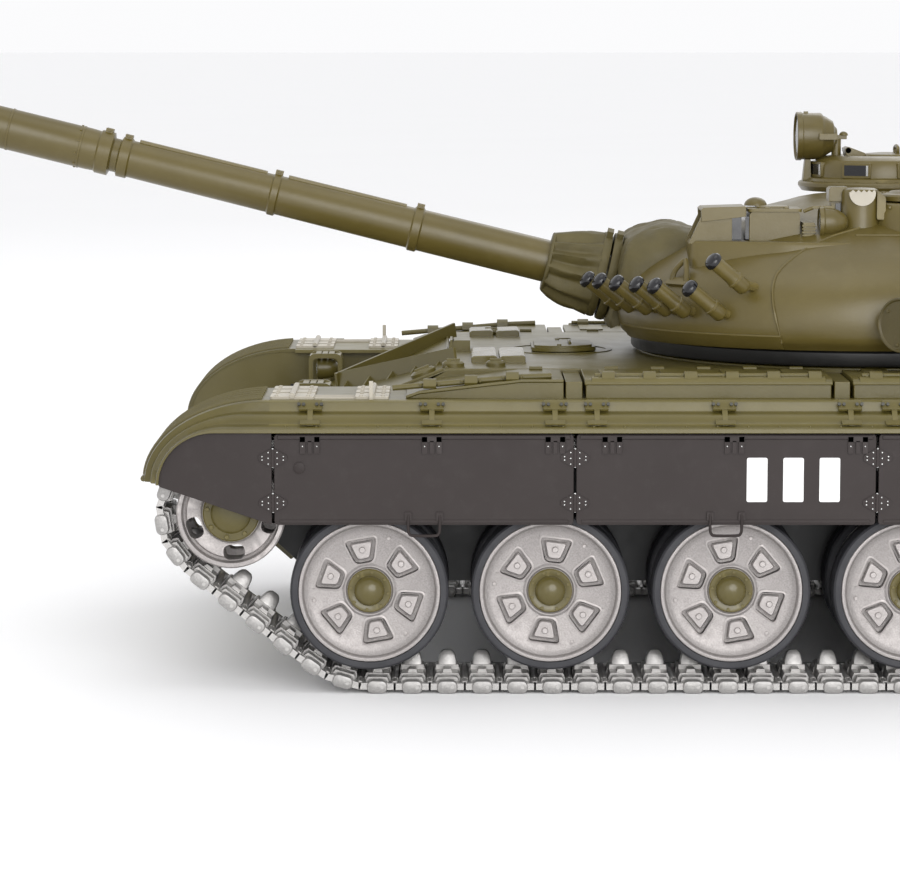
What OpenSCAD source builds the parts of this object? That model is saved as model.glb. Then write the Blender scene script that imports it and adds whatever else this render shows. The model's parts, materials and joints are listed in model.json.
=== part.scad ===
// Radio-controlled tracked tank, about one sixteenth of full size.
// Millimetres, +X forward, +Y to the vehicle's left, +Z up. Z = 0 is the ground under the tracks.
// Shapes are drawn about the turret's axis (x = 0) and moved by frame_x, so that the origin is
// at the middle of the whole outline.

/* [Running gear] */
// Distance between neighbouring road wheels
wheel_step = 53.4; // [50:0.1:56]
// Outer radius of a road wheel's tyre
wheel_r = 23.4; // [22:0.1:24]
// Height of the road wheels' axles
axle_z = 30.4; // [29.5:0.1:31]
// Place of the front road wheel, ahead of the turret's axis
front_wheel_x = 155.8; // [150:0.1:158]
// Distance from the middle of the vehicle to the middle of a track
track_y = 87.2; // [86:0.1:88]
// Width of a track
track_w = 36.2; // [35:0.1:36.4]
// Radius of the idler wheel
idler_r = 16.1; // [15.5:0.1:16.6]
// Place of the idler's axle along the hull
idler_x = 196.5; // [194:0.1:198]
// Height of the idler's axle
idler_z = 53.5; // [52:0.1:55]
// Place of the drive sprocket's shaft along the hull
sprocket_x = -156; // [-160:0.1:-154]
// Height of the drive sprocket's shaft
sprocket_z = 51; // [50:0.1:53]
// Radius of the track's pins around the drive sprocket
sprocket_pitch_r = 19.5; // [19:0.1:20]
// Number of links in a track
link_count = 82; // [80:1:84]
// Number of teeth on a sprocket ring
tooth_count = 12; // [11:1:13]

/* [Hull] */
// Half the width of the hull tub
tub_half = 62; // [60:0.1:62.5]
// Thickness of the tub's walls
wall = 2; // [1.6:0.1:2.5]
// Height of the belly plate above the ground
belly_z = 27; // [25:0.1:28]
// Height of the hull's roof
roof_z = 92.8; // [92:0.1:93.2]
// Height of the flat top of the fenders
fender_z = 87; // [86.5:0.1:87.2]
// Half the width over the side skirts
skirt_half = 112; // [111.5:0.1:113]
// Height of the skirts' lower edge
skirt_low_z = 51.2; // [49:0.1:55]
// Length of one skirt panel
panel_len = 88.2; // [86:0.1:89]
// Place of the seam behind the front flap
panel_front_x = 183.7; // [182:0.1:185]

/* [Turret] */
// Radius of the turret's neck in the hull's roof
neck_r = 60; // [56:0.1:60.4]
// Height of the turret shell's lower edge
turret_z = 98.8; // [98.6:0.1:99.5]
// Radius of the turret's side wall
turret_r = 77.5; // [76:0.1:78]
// How far the two front cheeks bulge out past that radius
cheek = 5; // [3:0.1:6]
// Height of the turret's roof
turret_top_z = 143.6; // [142.5:0.1:145]

/* [Gun] */
// Place of the gun's trunnions ahead of the turret's axis
trunnion_x = 62; // [60:0.1:64]
// Height of the gun's trunnions
trunnion_z = 111.8; // [111:0.1:113]
// Angle of the barrel above the horizon
gun_angle = 13.8; // [10:0.1:18]
// Distance from the trunnions to the muzzle
muzzle_d = 320; // [290:1:330]
// Radius of the mantlet's drum
drum_r = 22; // [20:0.1:22.5]
// Radius of the bore at the muzzle
bore_r = 3.1; // [2.9:0.1:3.4]

/* [Hidden] */
$fn = 48;
WHEELS = 6;
ROLLERS = 3;
SIDES = ["left", "right"];

olive = "#5f5a3a";
dark_olive = "#4a4630";
skirt_grey = "#4b4344";
alloy = "#b9b5b2";
rubber = "#2f2f33";
black = "#1b1b1c";

// The rearmost and foremost points of the outline, and the shift that puts the origin between them.
tail_x = -240;
muzzle_r = 5.4;
nose_x = trunnion_x + muzzle_d * cos(gun_angle) + muzzle_r * sin(gun_angle);
frame_x = -(nose_x + tail_x) / 2;

// Fits: a shaft in its hole, a moving part beside another, two fixed parts side by side, and two
// fixed parts stuck together.
run_gap = 0.08;
move_gap = 0.5;
seam = 0.3;
glue_gap = 0.05;

// Track: the pins' line lies pin_drop below the wheel's tread.
pin_drop = 4.8;
plate_in = 4;
pad_out = 2.2;
horn_in = 8;
link_gap = 0.4;
channel_in = 9.6;
channel_out = 14.4;
rod_r = 0.9;
rod_s = 2.2;

// Road wheels: two rubber-tyred discs on one hub, with the guide horns running between them.
disc_in = 6.2;
disc_out = 17.3;
tread_t = 2.3;
axle_r = 2;
hub_r = 6.6;
pockets = 6;

arm_len = 14.5;
arm_rise = 5.8;
arm_y = tub_half + 1;
arm_t = 4.5;
arm_r = 4;
pivot_r = 2.5;

roller_r = 7.5;
roller_x = [for (k = [0:ROLLERS - 1]) front_wheel_x - wheel_step * (2 * k + 0.5)];

// Glacis: a straight slope from the roof down to the nose.
glacis_top_x = 133;
nose_plate_x = 210;
nose_plate_z = 63;
glacis_slope = (roof_z - nose_plate_z) / (nose_plate_x - glacis_top_x);
tail_plate_x = -192;
rim_z = 78;

// Fender: cross-section points (y, z), outer face first, then back along the inner face.
fender_rear_x = -204;
guard_x = 185;
side_wall_y = 66;
fender_points = [
    [tub_half + 0.4, fender_z], [98, fender_z], [104, fender_z - 4], [111, fender_z - 7],
    [skirt_half, fender_z - 7.6], [skirt_half, fender_z - 8.8], [skirt_half - 1.2, fender_z - 8.8],
    [skirt_half - 1.2, fender_z - 8.2], [103.4, fender_z - 5.4], [97.4, fender_z - 1.6],
    [tub_half + 0.4, fender_z - 1.6]];
// Mudguard: the fender's points sweep down to tip_z. A high point starts at the guard's rear edge and
// ends at its tip. A low point starts later and ends sooner.
tip_z = 63;
tip_high_x = 222;
tip_low_x = 217;
low_start_x = 201;
box_ends = [[98.5, 145], [19.2, 92.3], [-60, 13.3], [-139.2, -65.9], [-194, -145.1]];
box_rise = 34;

deck_ring_z = roof_z + 0.6;
ring_low_z = deck_ring_z + move_gap;
slot_half = 20;
hatch_r = 17;
cupola_x = -10;
cupola_y = -34;
cupola_r = 27;
cupola_z = turret_top_z + 0.6;
gunner_x = -16;
gunner_y = 34;
hatch_seat_z = turret_top_z - 1.5;

// ---------------------------------------------------------------- helpers

// Draws about the vehicle's frame.
module placed() translate([frame_x, 0, 0]) children();

// Mirrors to the right-hand side when side is "right".
module on_side(side) mirror([0, side == "right" ? 1 : 0, 0]) children();

// Turns the local +Z axis to +Y and moves it to (x, y, z).
module along_y(x, y, z) translate([x, y, z]) rotate([-90, 0, 0]) children();

// A slab with a side outline of (x, z) points, from y0 to y1.
module side_slab(points, y0, y1) translate([0, y1, 0]) rotate([90, 0, 0])
    linear_extrude(height = y1 - y0) polygon(points);

// A slab with a cross-section of (y, z) points, from x0 to x1.
module cross_slab(points, x0, x1) translate([x0, 0, 0]) rotate([90, 0, 90])
    linear_extrude(height = x1 - x0) polygon(points);

// A box from one corner to the other.
module span(a, b) translate(a) cube([b[0] - a[0], b[1] - a[1], b[2] - a[2]]);

// Along the barrel: local +Z runs from the trunnions towards the muzzle.
module along_barrel() translate([trunnion_x, 0, trunnion_z]) rotate([0, 90 - gun_angle, 0]) children();

function wheel_x(k) = front_wheel_x - wheel_step * (k - 1);
function glacis_z(x) = roof_z - (x - glacis_top_x) * glacis_slope;
// The point of the mudguard that continues fender point (y, z), at angle t of its quarter turn.
function guard_point(y, z, t) =
    let (low = (fender_z - z) / 8.8,
         x0 = guard_x + low * (low_start_x - guard_x),
         x1 = tip_high_x + low * (tip_low_x - tip_high_x))
    [x0 + (x1 - x0) * sin(t), y, tip_z + (z - tip_z) * cos(t)];

// ---------------------------------------------------------------- track path

// The belt's circles in order: rear road wheel, front road wheel, idler, sprocket, as [x, z, pin radius].
belt = [
    [wheel_x(WHEELS), axle_z, wheel_r + pin_drop],
    [wheel_x(1), axle_z, wheel_r + pin_drop],
    [idler_x, idler_z, idler_r + pin_drop],
    [sprocket_x, sprocket_z, sprocket_pitch_r]];
B = len(belt);
function heading(a, b) = atan2(b[1] - a[1], b[0] - a[0]);
function span_of(a, b) = norm([b[0] - a[0], b[1] - a[1]]);
// Direction from a circle's centre to where the belt leaves it for the next circle.
function leave(a, b) = heading(a, b) - acos((a[2] - b[2]) / span_of(a, b));
function turn(d) = d < 0 ? d + 360 : d;
leave_angle = [for (i = [0:B - 1]) leave(belt[i], belt[(i + 1) % B])];
wrap_angle = [for (i = [0:B - 1]) turn(leave_angle[i] - leave_angle[(i + B - 1) % B])];
run_len = [for (i = [0:B - 1])
    sqrt(pow(span_of(belt[i], belt[(i + 1) % B]), 2) - pow(belt[i][2] - belt[(i + 1) % B][2], 2))];
arc_len = [for (i = [0:B - 1]) wrap_angle[i] * PI / 180 * belt[i][2]];
function total(v, i = 0) = i == len(v) ? 0 : v[i] + total(v, i + 1);
belt_len = total(run_len) + total(arc_len);
link_pitch = belt_len / link_count;
function on_circle(c, a) = [c[0] + c[2] * cos(a), c[1] + c[2] * sin(a)];
// The point at distance s along the belt, starting where it leaves circle i.
function belt_at(s, i = 0) =
    s <= run_len[i] ? on_circle(belt[i], leave_angle[i])
        + s * [-sin(leave_angle[i]), cos(leave_angle[i])]
    : s - run_len[i] <= arc_len[(i + 1) % B]
        ? let (c = belt[(i + 1) % B])
          on_circle(c, leave_angle[i] + (s - run_len[i]) / c[2] * 180 / PI)
    : i == B - 1 ? belt_at(s - run_len[i] - arc_len[0], 0)
    : belt_at(s - run_len[i] - arc_len[(i + 1) % B], i + 1);
function pin_at(k) = belt_at((k % link_count) * link_pitch);
// Height of the top run's pins above x.
top_a = on_circle(belt[2], leave_angle[2]);
top_b = on_circle(belt[3], leave_angle[2]);
function top_run_z(x) = top_a[1] + (x - top_a[0]) * (top_b[1] - top_a[1]) / (top_b[0] - top_a[0]);

// One cast link. Local x runs along the track, y across it, and z towards the wheels.
module link() {
    half = link_pitch / 2;
    flat_half = half - link_gap / 2 - 0.9;
    // middle plate with chamfered ends, so that neighbours clear each other on the curves
    side_slab([[-flat_half - 0.9, -0.4], [-flat_half, -1.6], [flat_half, -1.6], [flat_half + 0.9, -0.4],
               [flat_half + 0.5, 1.4], [flat_half - 0.6, plate_in], [-flat_half + 0.6, plate_in],
               [-flat_half - 0.5, 1.4]], -channel_in, channel_in);
    // guide horn
    side_slab([[-2.7, plate_in - 0.5], [2.7, plate_in - 0.5], [1.4, horn_in], [-1.4, horn_in]], -2.6, 2.6);
    for (m = [0, 1]) mirror([0, m, 0]) {
        // end pad, on the ground below and under the tyre above
        translate([0, channel_out, 0]) {
            span([-3.4, 0, -pad_out], [3.4, track_w / 2 - channel_out, 0.6]);
            span([-3.6, 0, 0.6], [3.6, track_w / 2 - channel_out - 0.8, plate_in]);
        }
        for (s = [-rod_s, rod_s]) along_y(s, channel_in - 1, 0)
            cylinder(r = rod_r, h = channel_out - channel_in + 2);
    }
}

module track() color(alloy)
    for (k = [0:link_count - 1]) {
        a = pin_at(k);
        b = pin_at(k + 1);
        // the belt runs forward along the ground, so the wheels are on its left
        translate([(a[0] + b[0]) / 2, track_y, (a[1] + b[1]) / 2])
            rotate([0, -atan2(b[1] - a[1], b[0] - a[0]), 0]) link();
    }

// ---------------------------------------------------------------- wheels

// Wheels are drawn about their own axle: local +Z points away from the hull.
module tyre(z0, z1) rotate_extrude() polygon([
    [wheel_r - tread_t + glue_gap, z0], [wheel_r - 0.8, z0], [wheel_r, z0 + 0.8],
    [wheel_r, z1 - 0.8], [wheel_r - 0.8, z1], [wheel_r - tread_t + glue_gap, z1]]);

module pocket_outline() polygon([[7.9, -1.9], [9, -2.9], [15.2, -4.6], [16, -4], [16, 4], [15.2, 4.6],
    [9, 2.9], [7.9, 1.9]]);

module wheel_disc() {
    rim = wheel_r - tread_t;
    difference() {
        rotate_extrude() polygon([
            [axle_r + run_gap, -disc_out], [rim, -disc_out], [rim, -disc_in], [rim - 2, -disc_in],
            [rim - 3, -disc_in - 1.5], [hub_r, -disc_in - 1.5], [hub_r, disc_in + 2],
            [rim - 3, disc_in + 2], [rim - 2, disc_in], [rim, disc_in], [rim, disc_out],
            [rim - 1.2, disc_out], [rim - 2, disc_out - 2.2], [hub_r + 1, disc_out - 3.4],
            [hub_r, disc_out - 3.4], [0, disc_out - 3.4], [0, disc_out - 4.4],
            [axle_r + run_gap, disc_out - 4.4]]);
        for (k = [0:pockets - 1]) rotate([0, 0, k * 360 / pockets + 8])
            translate([0, 0, disc_out - 4.8]) linear_extrude(height = 4) pocket_outline();
        // dished back of the inner disc
        translate([0, 0, -disc_out - 1]) rotate_extrude() polygon([
            [hub_r, 0], [rim - 1.5, 0], [rim - 2.5, 4], [hub_r, 4]]);
    }
}

module hub_cap(r, z) translate([0, 0, z + glue_gap]) rotate_extrude() polygon(concat(
    [[0, 0], [r, 0], [r, 1.2], [r - 0.6, 1.6], [r * 0.66, 1.6]],
    [for (a = [15:15:90]) [r * 0.62 * cos(a), 1.6 + r * 0.42 * sin(a)]]));

module road_wheel() {
    color(alloy) wheel_disc();
    color(rubber) tyre(disc_in, disc_out);
    color(rubber) tyre(-disc_out, -disc_in);
    color(olive) hub_cap(hub_r, disc_out - 3.4);
}

module idler() {
    color(alloy) difference() {
        rotate_extrude() polygon([
            [axle_r + 0.5 + run_gap, -disc_out], [idler_r, -disc_out], [idler_r, -disc_in],
            [9, -disc_in], [9, disc_in], [idler_r, disc_in], [idler_r, disc_out],
            [idler_r - 1.2, disc_out], [idler_r - 1.6, disc_out - 2], [9, disc_out - 2.6],
            [0, disc_out - 2.6], [0, disc_out - 3.8], [axle_r + 0.5 + run_gap, disc_out - 3.8]]);
        for (k = [0:4]) rotate([0, 0, k * 72 + 10]) translate([12.1, 0, -disc_out - 1])
            cylinder(r = 2.3, h = 2 * disc_out + 2);
        translate([0, 0, -disc_out - 1]) rotate_extrude() polygon([
            [6, 0], [idler_r - 1.5, 0], [idler_r - 1.9, 7], [6, 7]]);
        translate([0, 0, disc_in]) rotate_extrude() polygon([
            [9.6, -0.1], [idler_r - 1.5, -0.1], [idler_r - 1.5, 5], [9.6, 5]]);
    }
    color(olive) hub_cap(8.5, disc_out - 2.6);
}

module toothed_ring(z0, z1) translate([0, 0, z0]) difference() {
    union() {
        cylinder(r = sprocket_pitch_r - 3.6, h = z1 - z0);
        for (k = [0:tooth_count - 1]) rotate([0, 0, (k + 0.5) * 360 / tooth_count])
            linear_extrude(height = z1 - z0)
                polygon([[14, -2.4], [15.6, -2.2], [17.5, -0.9], [17.5, 0.9], [15.6, 2.2], [14, 2.4]]);
    }
    translate([0, 0, -1]) cylinder(r = 6, h = z1 - z0 + 2);
    for (k = [0:5]) rotate([0, 0, k * 60]) translate([10.6, 0, -1]) cylinder(r = 2.4, h = z1 - z0 + 2);
}

module drive_sprocket() {
    color(alloy) {
        toothed_ring(channel_in + 0.6, channel_out - 0.6);
        toothed_ring(-channel_out + 0.6, -channel_in - 0.6);
        difference() {
            translate([0, 0, -track_y + 44]) cylinder(r = axle_r, h = track_y - 44);
            translate([0, 0, -channel_out]) cylinder(r = 4, h = 40);
        }
        translate([0, 0, -channel_out]) cylinder(r = 6, h = 2 * channel_out + 1);
    }
    color(olive) hub_cap(7.5, channel_out + 1);
}

module return_roller() color(alloy) rotate_extrude() polygon([
    [1.5 + run_gap, -disc_out], [roller_r - 0.5, -disc_out], [roller_r, -disc_out + 0.5],
    [roller_r, -8.6], [roller_r - 0.5, -8.1], [4, -8.1], [3.4, -6.6], [0, -6.6], [0, -7.8],
    [1.5 + run_gap, -7.8]]);

// Trailing arm, drawn about the wheel's axle at the hull's middle plane.
module swing_arm() color(black) {
    difference() {
        union() {
            for (p = [[0, 0], [arm_len, arm_rise]])
                along_y(p[0], arm_y, p[1]) cylinder(r = arm_r, h = arm_t);
            rotate([0, -atan2(arm_rise, arm_len), 0])
                span([0, arm_y, -3], [norm([arm_len, arm_rise]), arm_y + arm_t - 0.6, 3]);
        }
        along_y(0, arm_y + 1.5, 0) cylinder(r = axle_r, h = arm_t);
    }
    along_y(0, arm_y + 1.5, 0) cylinder(r = axle_r, h = track_y + disc_out - 5 - arm_y - 1.5);
    along_y(arm_len, tub_half - wall - 2, arm_rise) cylinder(r = pivot_r, h = arm_y - tub_half + wall + 2);
}

// ---------------------------------------------------------------- hull

tub_outline = [[-180, belly_z], [172, belly_z], [207, 59], [207, glacis_z(207) - 2.6],
    [164, glacis_z(164) - 2.6], [164, rim_z], [tail_plate_x, rim_z], [tail_plate_x, 42]];
tub_inside = [[-179, belly_z + wall], [171, belly_z + wall], [204.6, 60], [204.6, glacis_z(204.6) - 1],
    [162, rim_z + 4], [tail_plate_x + wall, rim_z + 4], [tail_plate_x + wall, 42.6]];
door_x = [-26, 54];
door_half = 24;
switch_x = -104;

module hull_tub() color(black) {
    pin_y = tub_half + glue_gap;
    difference() {
        side_slab(tub_outline, -tub_half, tub_half);
        side_slab(tub_inside, -tub_half + wall, tub_half - wall);
        for (k = [1:WHEELS]) along_y(wheel_x(k) + arm_len, -tub_half - 1, axle_z + arm_rise)
            cylinder(r = pivot_r + run_gap, h = 2 * tub_half + 2);
        along_y(sprocket_x, -tub_half - 1, sprocket_z) cylinder(r = axle_r + 0.2, h = 2 * tub_half + 2);
        span([door_x[0], -door_half, belly_z - 1], [door_x[1], door_half, belly_z + wall + 1]);
        span([switch_x - 7, -3, belly_z - 1], [switch_x + 7, 3, belly_z + wall + 1]);
    }
    for (side = SIDES) on_side(side) {
        along_y(idler_x, pin_y, idler_z) cylinder(r = axle_r + 0.5, h = track_y + disc_out - 4.4 - pin_y);
        along_y(idler_x, pin_y, idler_z) cylinder(r = 5, h = 3);
        for (x = roller_x) along_y(x, pin_y, top_run_z(x) - plate_in - roller_r - 0.3)
            cylinder(r = 1.5, h = track_y - 8.4 - pin_y);
    }
    // rails that hold the battery bay's cover
    for (side = SIDES) on_side(side) {
        span([door_x[0] - 72, door_half + 2.4, belly_z - 2.6], [door_x[1] + 3, door_half + 4, belly_z + 0.5]);
        span([door_x[0] - 72, door_half - 0.4, belly_z - 3.4], [door_x[1] + 3, door_half + 4, belly_z - 2.4]);
    }
    // rear drum brackets and tow hooks
    for (y = [-48, -16, 16, 48]) span([tail_plate_x - 9, y - 1.2, 66], [tail_plate_x, y + 1.2, 70]);
    for (y = [-40, 40]) {
        span([198, y - 2, 52], [208, y + 2, 55]);
        span([205.5, y - 2, 55], [208, y + 2, 59.5]);
        span([tail_plate_x - 5, y - 2, 44], [tail_plate_x, y + 2, 48]);
    }
}

// Curved mudguard in front of the straight fender, swept from the fender's cross-section.
module mudguard() {
    steps = 12;
    n = len(fender_points);
    section = [for (p = fender_points) [max(p[0], side_wall_y + seam), p[1]]];
    // the first ring is upright, against the fender's end
    points = concat(
        [for (p = section) [guard_x + seam / 2, p[0], p[1]]],
        [for (i = [0:steps]) for (p = section) [seam, 0, 0] + guard_point(p[0], p[1], 90 * i / steps)]);
    faces = concat(
        [[for (j = [n - 1:-1:0]) j]],
        [for (i = [0:steps]) for (j = [0:n - 1])
            [i * n + j, i * n + n + (j + 1) % n, i * n + n + j]],
        [for (i = [0:steps]) for (j = [0:n - 1])
            [i * n + j, i * n + (j + 1) % n, i * n + n + (j + 1) % n]],
        [[for (j = [0:n - 1]) (steps + 1) * n + j]]);
    polyhedron(points = points, faces = faces);
}

module fender_box(x0, x1) cross_slab([[side_wall_y, fender_z - 1], [98, fender_z - 1], [98, fender_z + 4.9],
    [96.4, fender_z + 5.7], [side_wall_y, roof_z]], x0, x1);

// One fender with its stowage boxes. The front box is a wedge that rises from the mudguard.
module fender() {
    cross_slab(fender_points, fender_rear_x, guard_x);
    mudguard();
    difference() {
        fender_box(box_ends[0][0], box_ends[0][1]);
        side_slab([[box_ends[0][1] - box_rise, roof_z + 1], [box_ends[0][1] + 1, fender_z + 0.6],
            [box_ends[0][1] + 1, roof_z + 1]], 60, 100);
    }
    for (k = [1:len(box_ends) - 1]) {
        fender_box(box_ends[k][0], box_ends[k][1]);
        fender_box(box_ends[k][1] + 0.5, box_ends[k - 1][0] - 0.5);
    }
    // rear mudguard
    cross_slab([[tub_half + 0.4, 62], [tub_half + 2, 62], [skirt_half - 2, 62], [skirt_half - 2, fender_z - 6.6],
        [tub_half + 0.4, fender_z - 1]], fender_rear_x, fender_rear_x + 1.5);
}

module upper_hull() color(olive) {
    difference() {
        union() {
            side_slab([[tail_plate_x, roof_z - 2.2], [glacis_top_x - 0.8, roof_z - 2.2],
                [nose_plate_x, nose_plate_z - 2.3], [nose_plate_x, nose_plate_z],
                [glacis_top_x, roof_z], [tail_plate_x, roof_z]], -side_wall_y, side_wall_y);
            cylinder(r = neck_r + 10, h = deck_ring_z);
        }
        translate([0, 0, -1]) cylinder(r = neck_r + 1, h = 120);
        translate([0, 0, -1]) cylinder(r = 80, h = roof_z - 1.2);
        // engine deck joints and louvres
        for (x = [-84, -128]) span([x - 0.4, -64, roof_z - 0.7], [x + 0.4, 64, roof_z + 1]);
        for (k = [0:7]) span([-136 - k * 5, -52, roof_z - 1], [-133.6 - k * 5, 52, roof_z + 1]);
    }
    for (side = SIDES) on_side(side) {
        // upper side wall, standing on the tub
        side_slab([[tail_plate_x, rim_z + 0.1], [158, rim_z + 0.1], [nose_plate_x - 0.5, glacis_z(nose_plate_x) - 1],
            [glacis_top_x, roof_z - 1], [tail_plate_x, roof_z - 1]], tub_half + 0.4, side_wall_y);
        fender();
        // splash board, one wing
        translate([168, 0, glacis_z(168) - 1]) rotate([0, 0, 180 - 51]) rotate([0, -11.6, 0])
            span([-0.6, -0.6, 0], [62, 0.8, 5.5]);
    }
    // rear plate of the upper hull
    span([tail_plate_x, -side_wall_y, rim_z + 0.1], [tail_plate_x + 2, side_wall_y, roof_z - 1]);
    // driver's periscope
    span([125.5, -6, roof_z - 1], [131.5, 6, roof_z + 3.4]);
}

// Front flap, three full panels and a rear one, with their step loops.
module side_skirt() color(skirt_grey) {
    y0 = skirt_half - 2.4;
    y1 = skirt_half - 1.3;
    top = fender_z - 8.8 - seam;
    flap_top = [for (t = [90:-9:0]) guard_point(0, top, t)];
    side_slab(concat([[panel_front_x + seam, skirt_low_z], [190, 53.2], [tip_low_x - 1.5, tip_z - 1]],
        [for (p = flap_top) [p[0] - 0.4, p[2]]], [[panel_front_x + seam, top]]), y0, y1);
    for (k = [0:3]) {
        x1 = panel_front_x - k * panel_len - seam;
        span([x1 - panel_len + 2 * seam, y0, skirt_low_z], [x1, y1, top]);
        // step loop under the panel's middle
        if (k < 3) translate([x1 - panel_len / 2, 0, 0]) {
            span([-4.8, y1, skirt_low_z - 3.6], [4.8, y1 + 1, skirt_low_z - 2.6]);
            for (x = [-4.8, 3.8]) span([x, y1, skirt_low_z - 2.6], [x + 1, y1 + 1, skirt_low_z + 2]);
        }
    }
}

// One headlamp on the glacis, inside its guard.
headlamp_x = 174;
module headlights() color(olive) for (side = SIDES) on_side(side) {
    translate([headlamp_x, 50, glacis_z(headlamp_x)]) {
        for (y = [-6, 5]) span([-5.4, y, 2.4], [5.4, y + 1, 9.4]);
        span([-5.4, -6, 9.4], [5.4, 6, 10.2]);
        translate([-2, 0, 5]) rotate([0, 90, 0]) {
            cylinder(r = 3.6, h = 6);
            translate([0, 0, -2.6]) cylinder(r1 = 2.4, r2 = 3.6, h = 2.6);
        }
    }
}

hatch_x = 97;
hatch_pivot = [hatch_x - 2, -15.5];
module driver_hatch() color(olive) difference() {
    union() {
        translate([hatch_x, 0, roof_z + 0.3]) cylinder(r = 14, h = 1.9);
        translate([hatch_pivot[0], hatch_pivot[1], roof_z + 0.3]) cylinder(r = 3, h = 1.9);
    }
    translate([hatch_x + 9, -20, roof_z]) cube([10, 40, 5]);
    translate([hatch_x - 18, -20, roof_z]) cube([6, 40, 5]);
}

// ---------------------------------------------------------------- rear and inside

drum_y = 31;
drum_len = 54;
module rear_drums() {
    for (y = [-drum_y, drum_y]) {
        color(olive) along_y(-221, y - drum_len / 2, 80) cylinder(r = 18, h = drum_len);
        color(dark_olive) for (b = [-17, 17]) along_y(-221, y + b - 1.5, 80) difference() {
            cylinder(r = 19, h = 3);
            translate([0, 0, -1]) cylinder(r = 18, h = 5);
        }
    }
    color("#8a6a44") along_y(-206, -70, 54) cylinder(r = 6, h = 140);
}

module battery_pack() color("#2b5f9e") span([-20, -18, belly_z + 5], [48, 18, belly_z + 24]);

// Cover under the battery bay, which slides rearwards in its rails.
module battery_door() color(black) {
    span([door_x[0] - 2, -door_half - 2, belly_z - 2], [door_x[1] + 2, door_half + 2, belly_z - 0.4]);
    for (x = [door_x[1] - 8, door_x[1] - 5, door_x[1] - 2])
        span([x, -8, belly_z - 3], [x + 1, 8, belly_z - 1.9]);
}

// Two motor gearboxes, each driving one sprocket shaft.
module drive_units() for (side = SIDES) on_side(side) {
    color(black) difference() {
        span([-176, 42, 33], [-134, 57, 71]);
        along_y(sprocket_x, 43, sprocket_z) cylinder(r = axle_r + run_gap, h = 20);
    }
    color(alloy) along_y(-142, 6, 46) cylinder(r = 12, h = 36);
}

module control_board() {
    color("#1f5a34") span([60, -30, 52], [128, 30, 53.6]);
    color(black) {
        for (x = [70, 88, 106]) span([x, -12, 53.6], [x + 12, 8, 56]);
        span([112, 12, 53.6], [124, 26, 60]);
    }
}

module speaker() color(black) translate([-76, 0, 34]) {
    cylinder(r = 19, h = 3);
    translate([0, 0, 3]) cylinder(r1 = 16, r2 = 9, h = 6);
    translate([0, 0, 9]) cylinder(r = 9, h = 5);
}

module power_switch() color(alloy) {
    span([switch_x - 6, -2.4, belly_z + 0.5], [switch_x - 1, 2.4, belly_z + 3.2]);
    span([switch_x - 6.6, -4, belly_z + wall + 0.4], [switch_x - 0.4, 4, belly_z + wall + 1.4]);
}

// ---------------------------------------------------------------- turret

// Radius of the cast shell at angle a from straight ahead, at its widest level.
function shell_r(a) = turret_r + cheek * exp(-pow((abs(a) - 32) / 32, 2));
// Levels of the shell: height, share of the full radius, and shift towards the rear.
levels = [[turret_z, 0.955, 0], [101.4, 0.99, 0], [108, 1, 0], [116, 0.972, 0], [122, 0.91, -1],
    [128, 0.795, -2], [133.5, 0.645, -4], [139, 0.45, -6], [142.4, 0.32, -8], [turret_top_z, 0.2, -8]];
shell_t = 2.6;

// The shell as one closed surface: up the outside, then down the inside.
module cast_shell() {
    n = 48;
    m = len(levels);
    function ring(l, inset, drop) = [for (j = [0:n - 1]) let (a = j * 360 / n, s = a > 180 ? a - 360 : a,
        r = shell_r(s) * l[1] - inset) [l[2] + r * cos(a), r * sin(a), l[0] - drop]];
    outer = [for (l = levels) each ring(l, 0, 0)];
    inner = [for (i = [m - 1:-1:0]) each ring(levels[i], shell_t, i < 2 ? 0 : shell_t * 0.8)];
    all = concat(outer, inner, [[-8, 0, turret_top_z + 0.1], [-8, 0, turret_top_z - shell_t]]);
    function quad(a, b, j) = [[a + j, b + j, b + (j + 1) % n], [a + j, b + (j + 1) % n, a + (j + 1) % n]];
    top = 2 * m * n;
    faces = concat(
        [for (i = [0:m - 2]) for (j = [0:n - 1]) each quad(i * n, i * n + n, j)],
        [for (j = [0:n - 1]) [(m - 1) * n + j, top, (m - 1) * n + (j + 1) % n]],
        [for (j = [0:n - 1]) [m * n + j, m * n + (j + 1) % n, top + 1]],
        [for (i = [m:2 * m - 2]) for (j = [0:n - 1]) each quad(i * n, i * n + n, j)],
        [for (j = [0:n - 1]) each quad((2 * m - 1) * n, 0, j)]);
    polyhedron(points = all, faces = faces);
}

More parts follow.
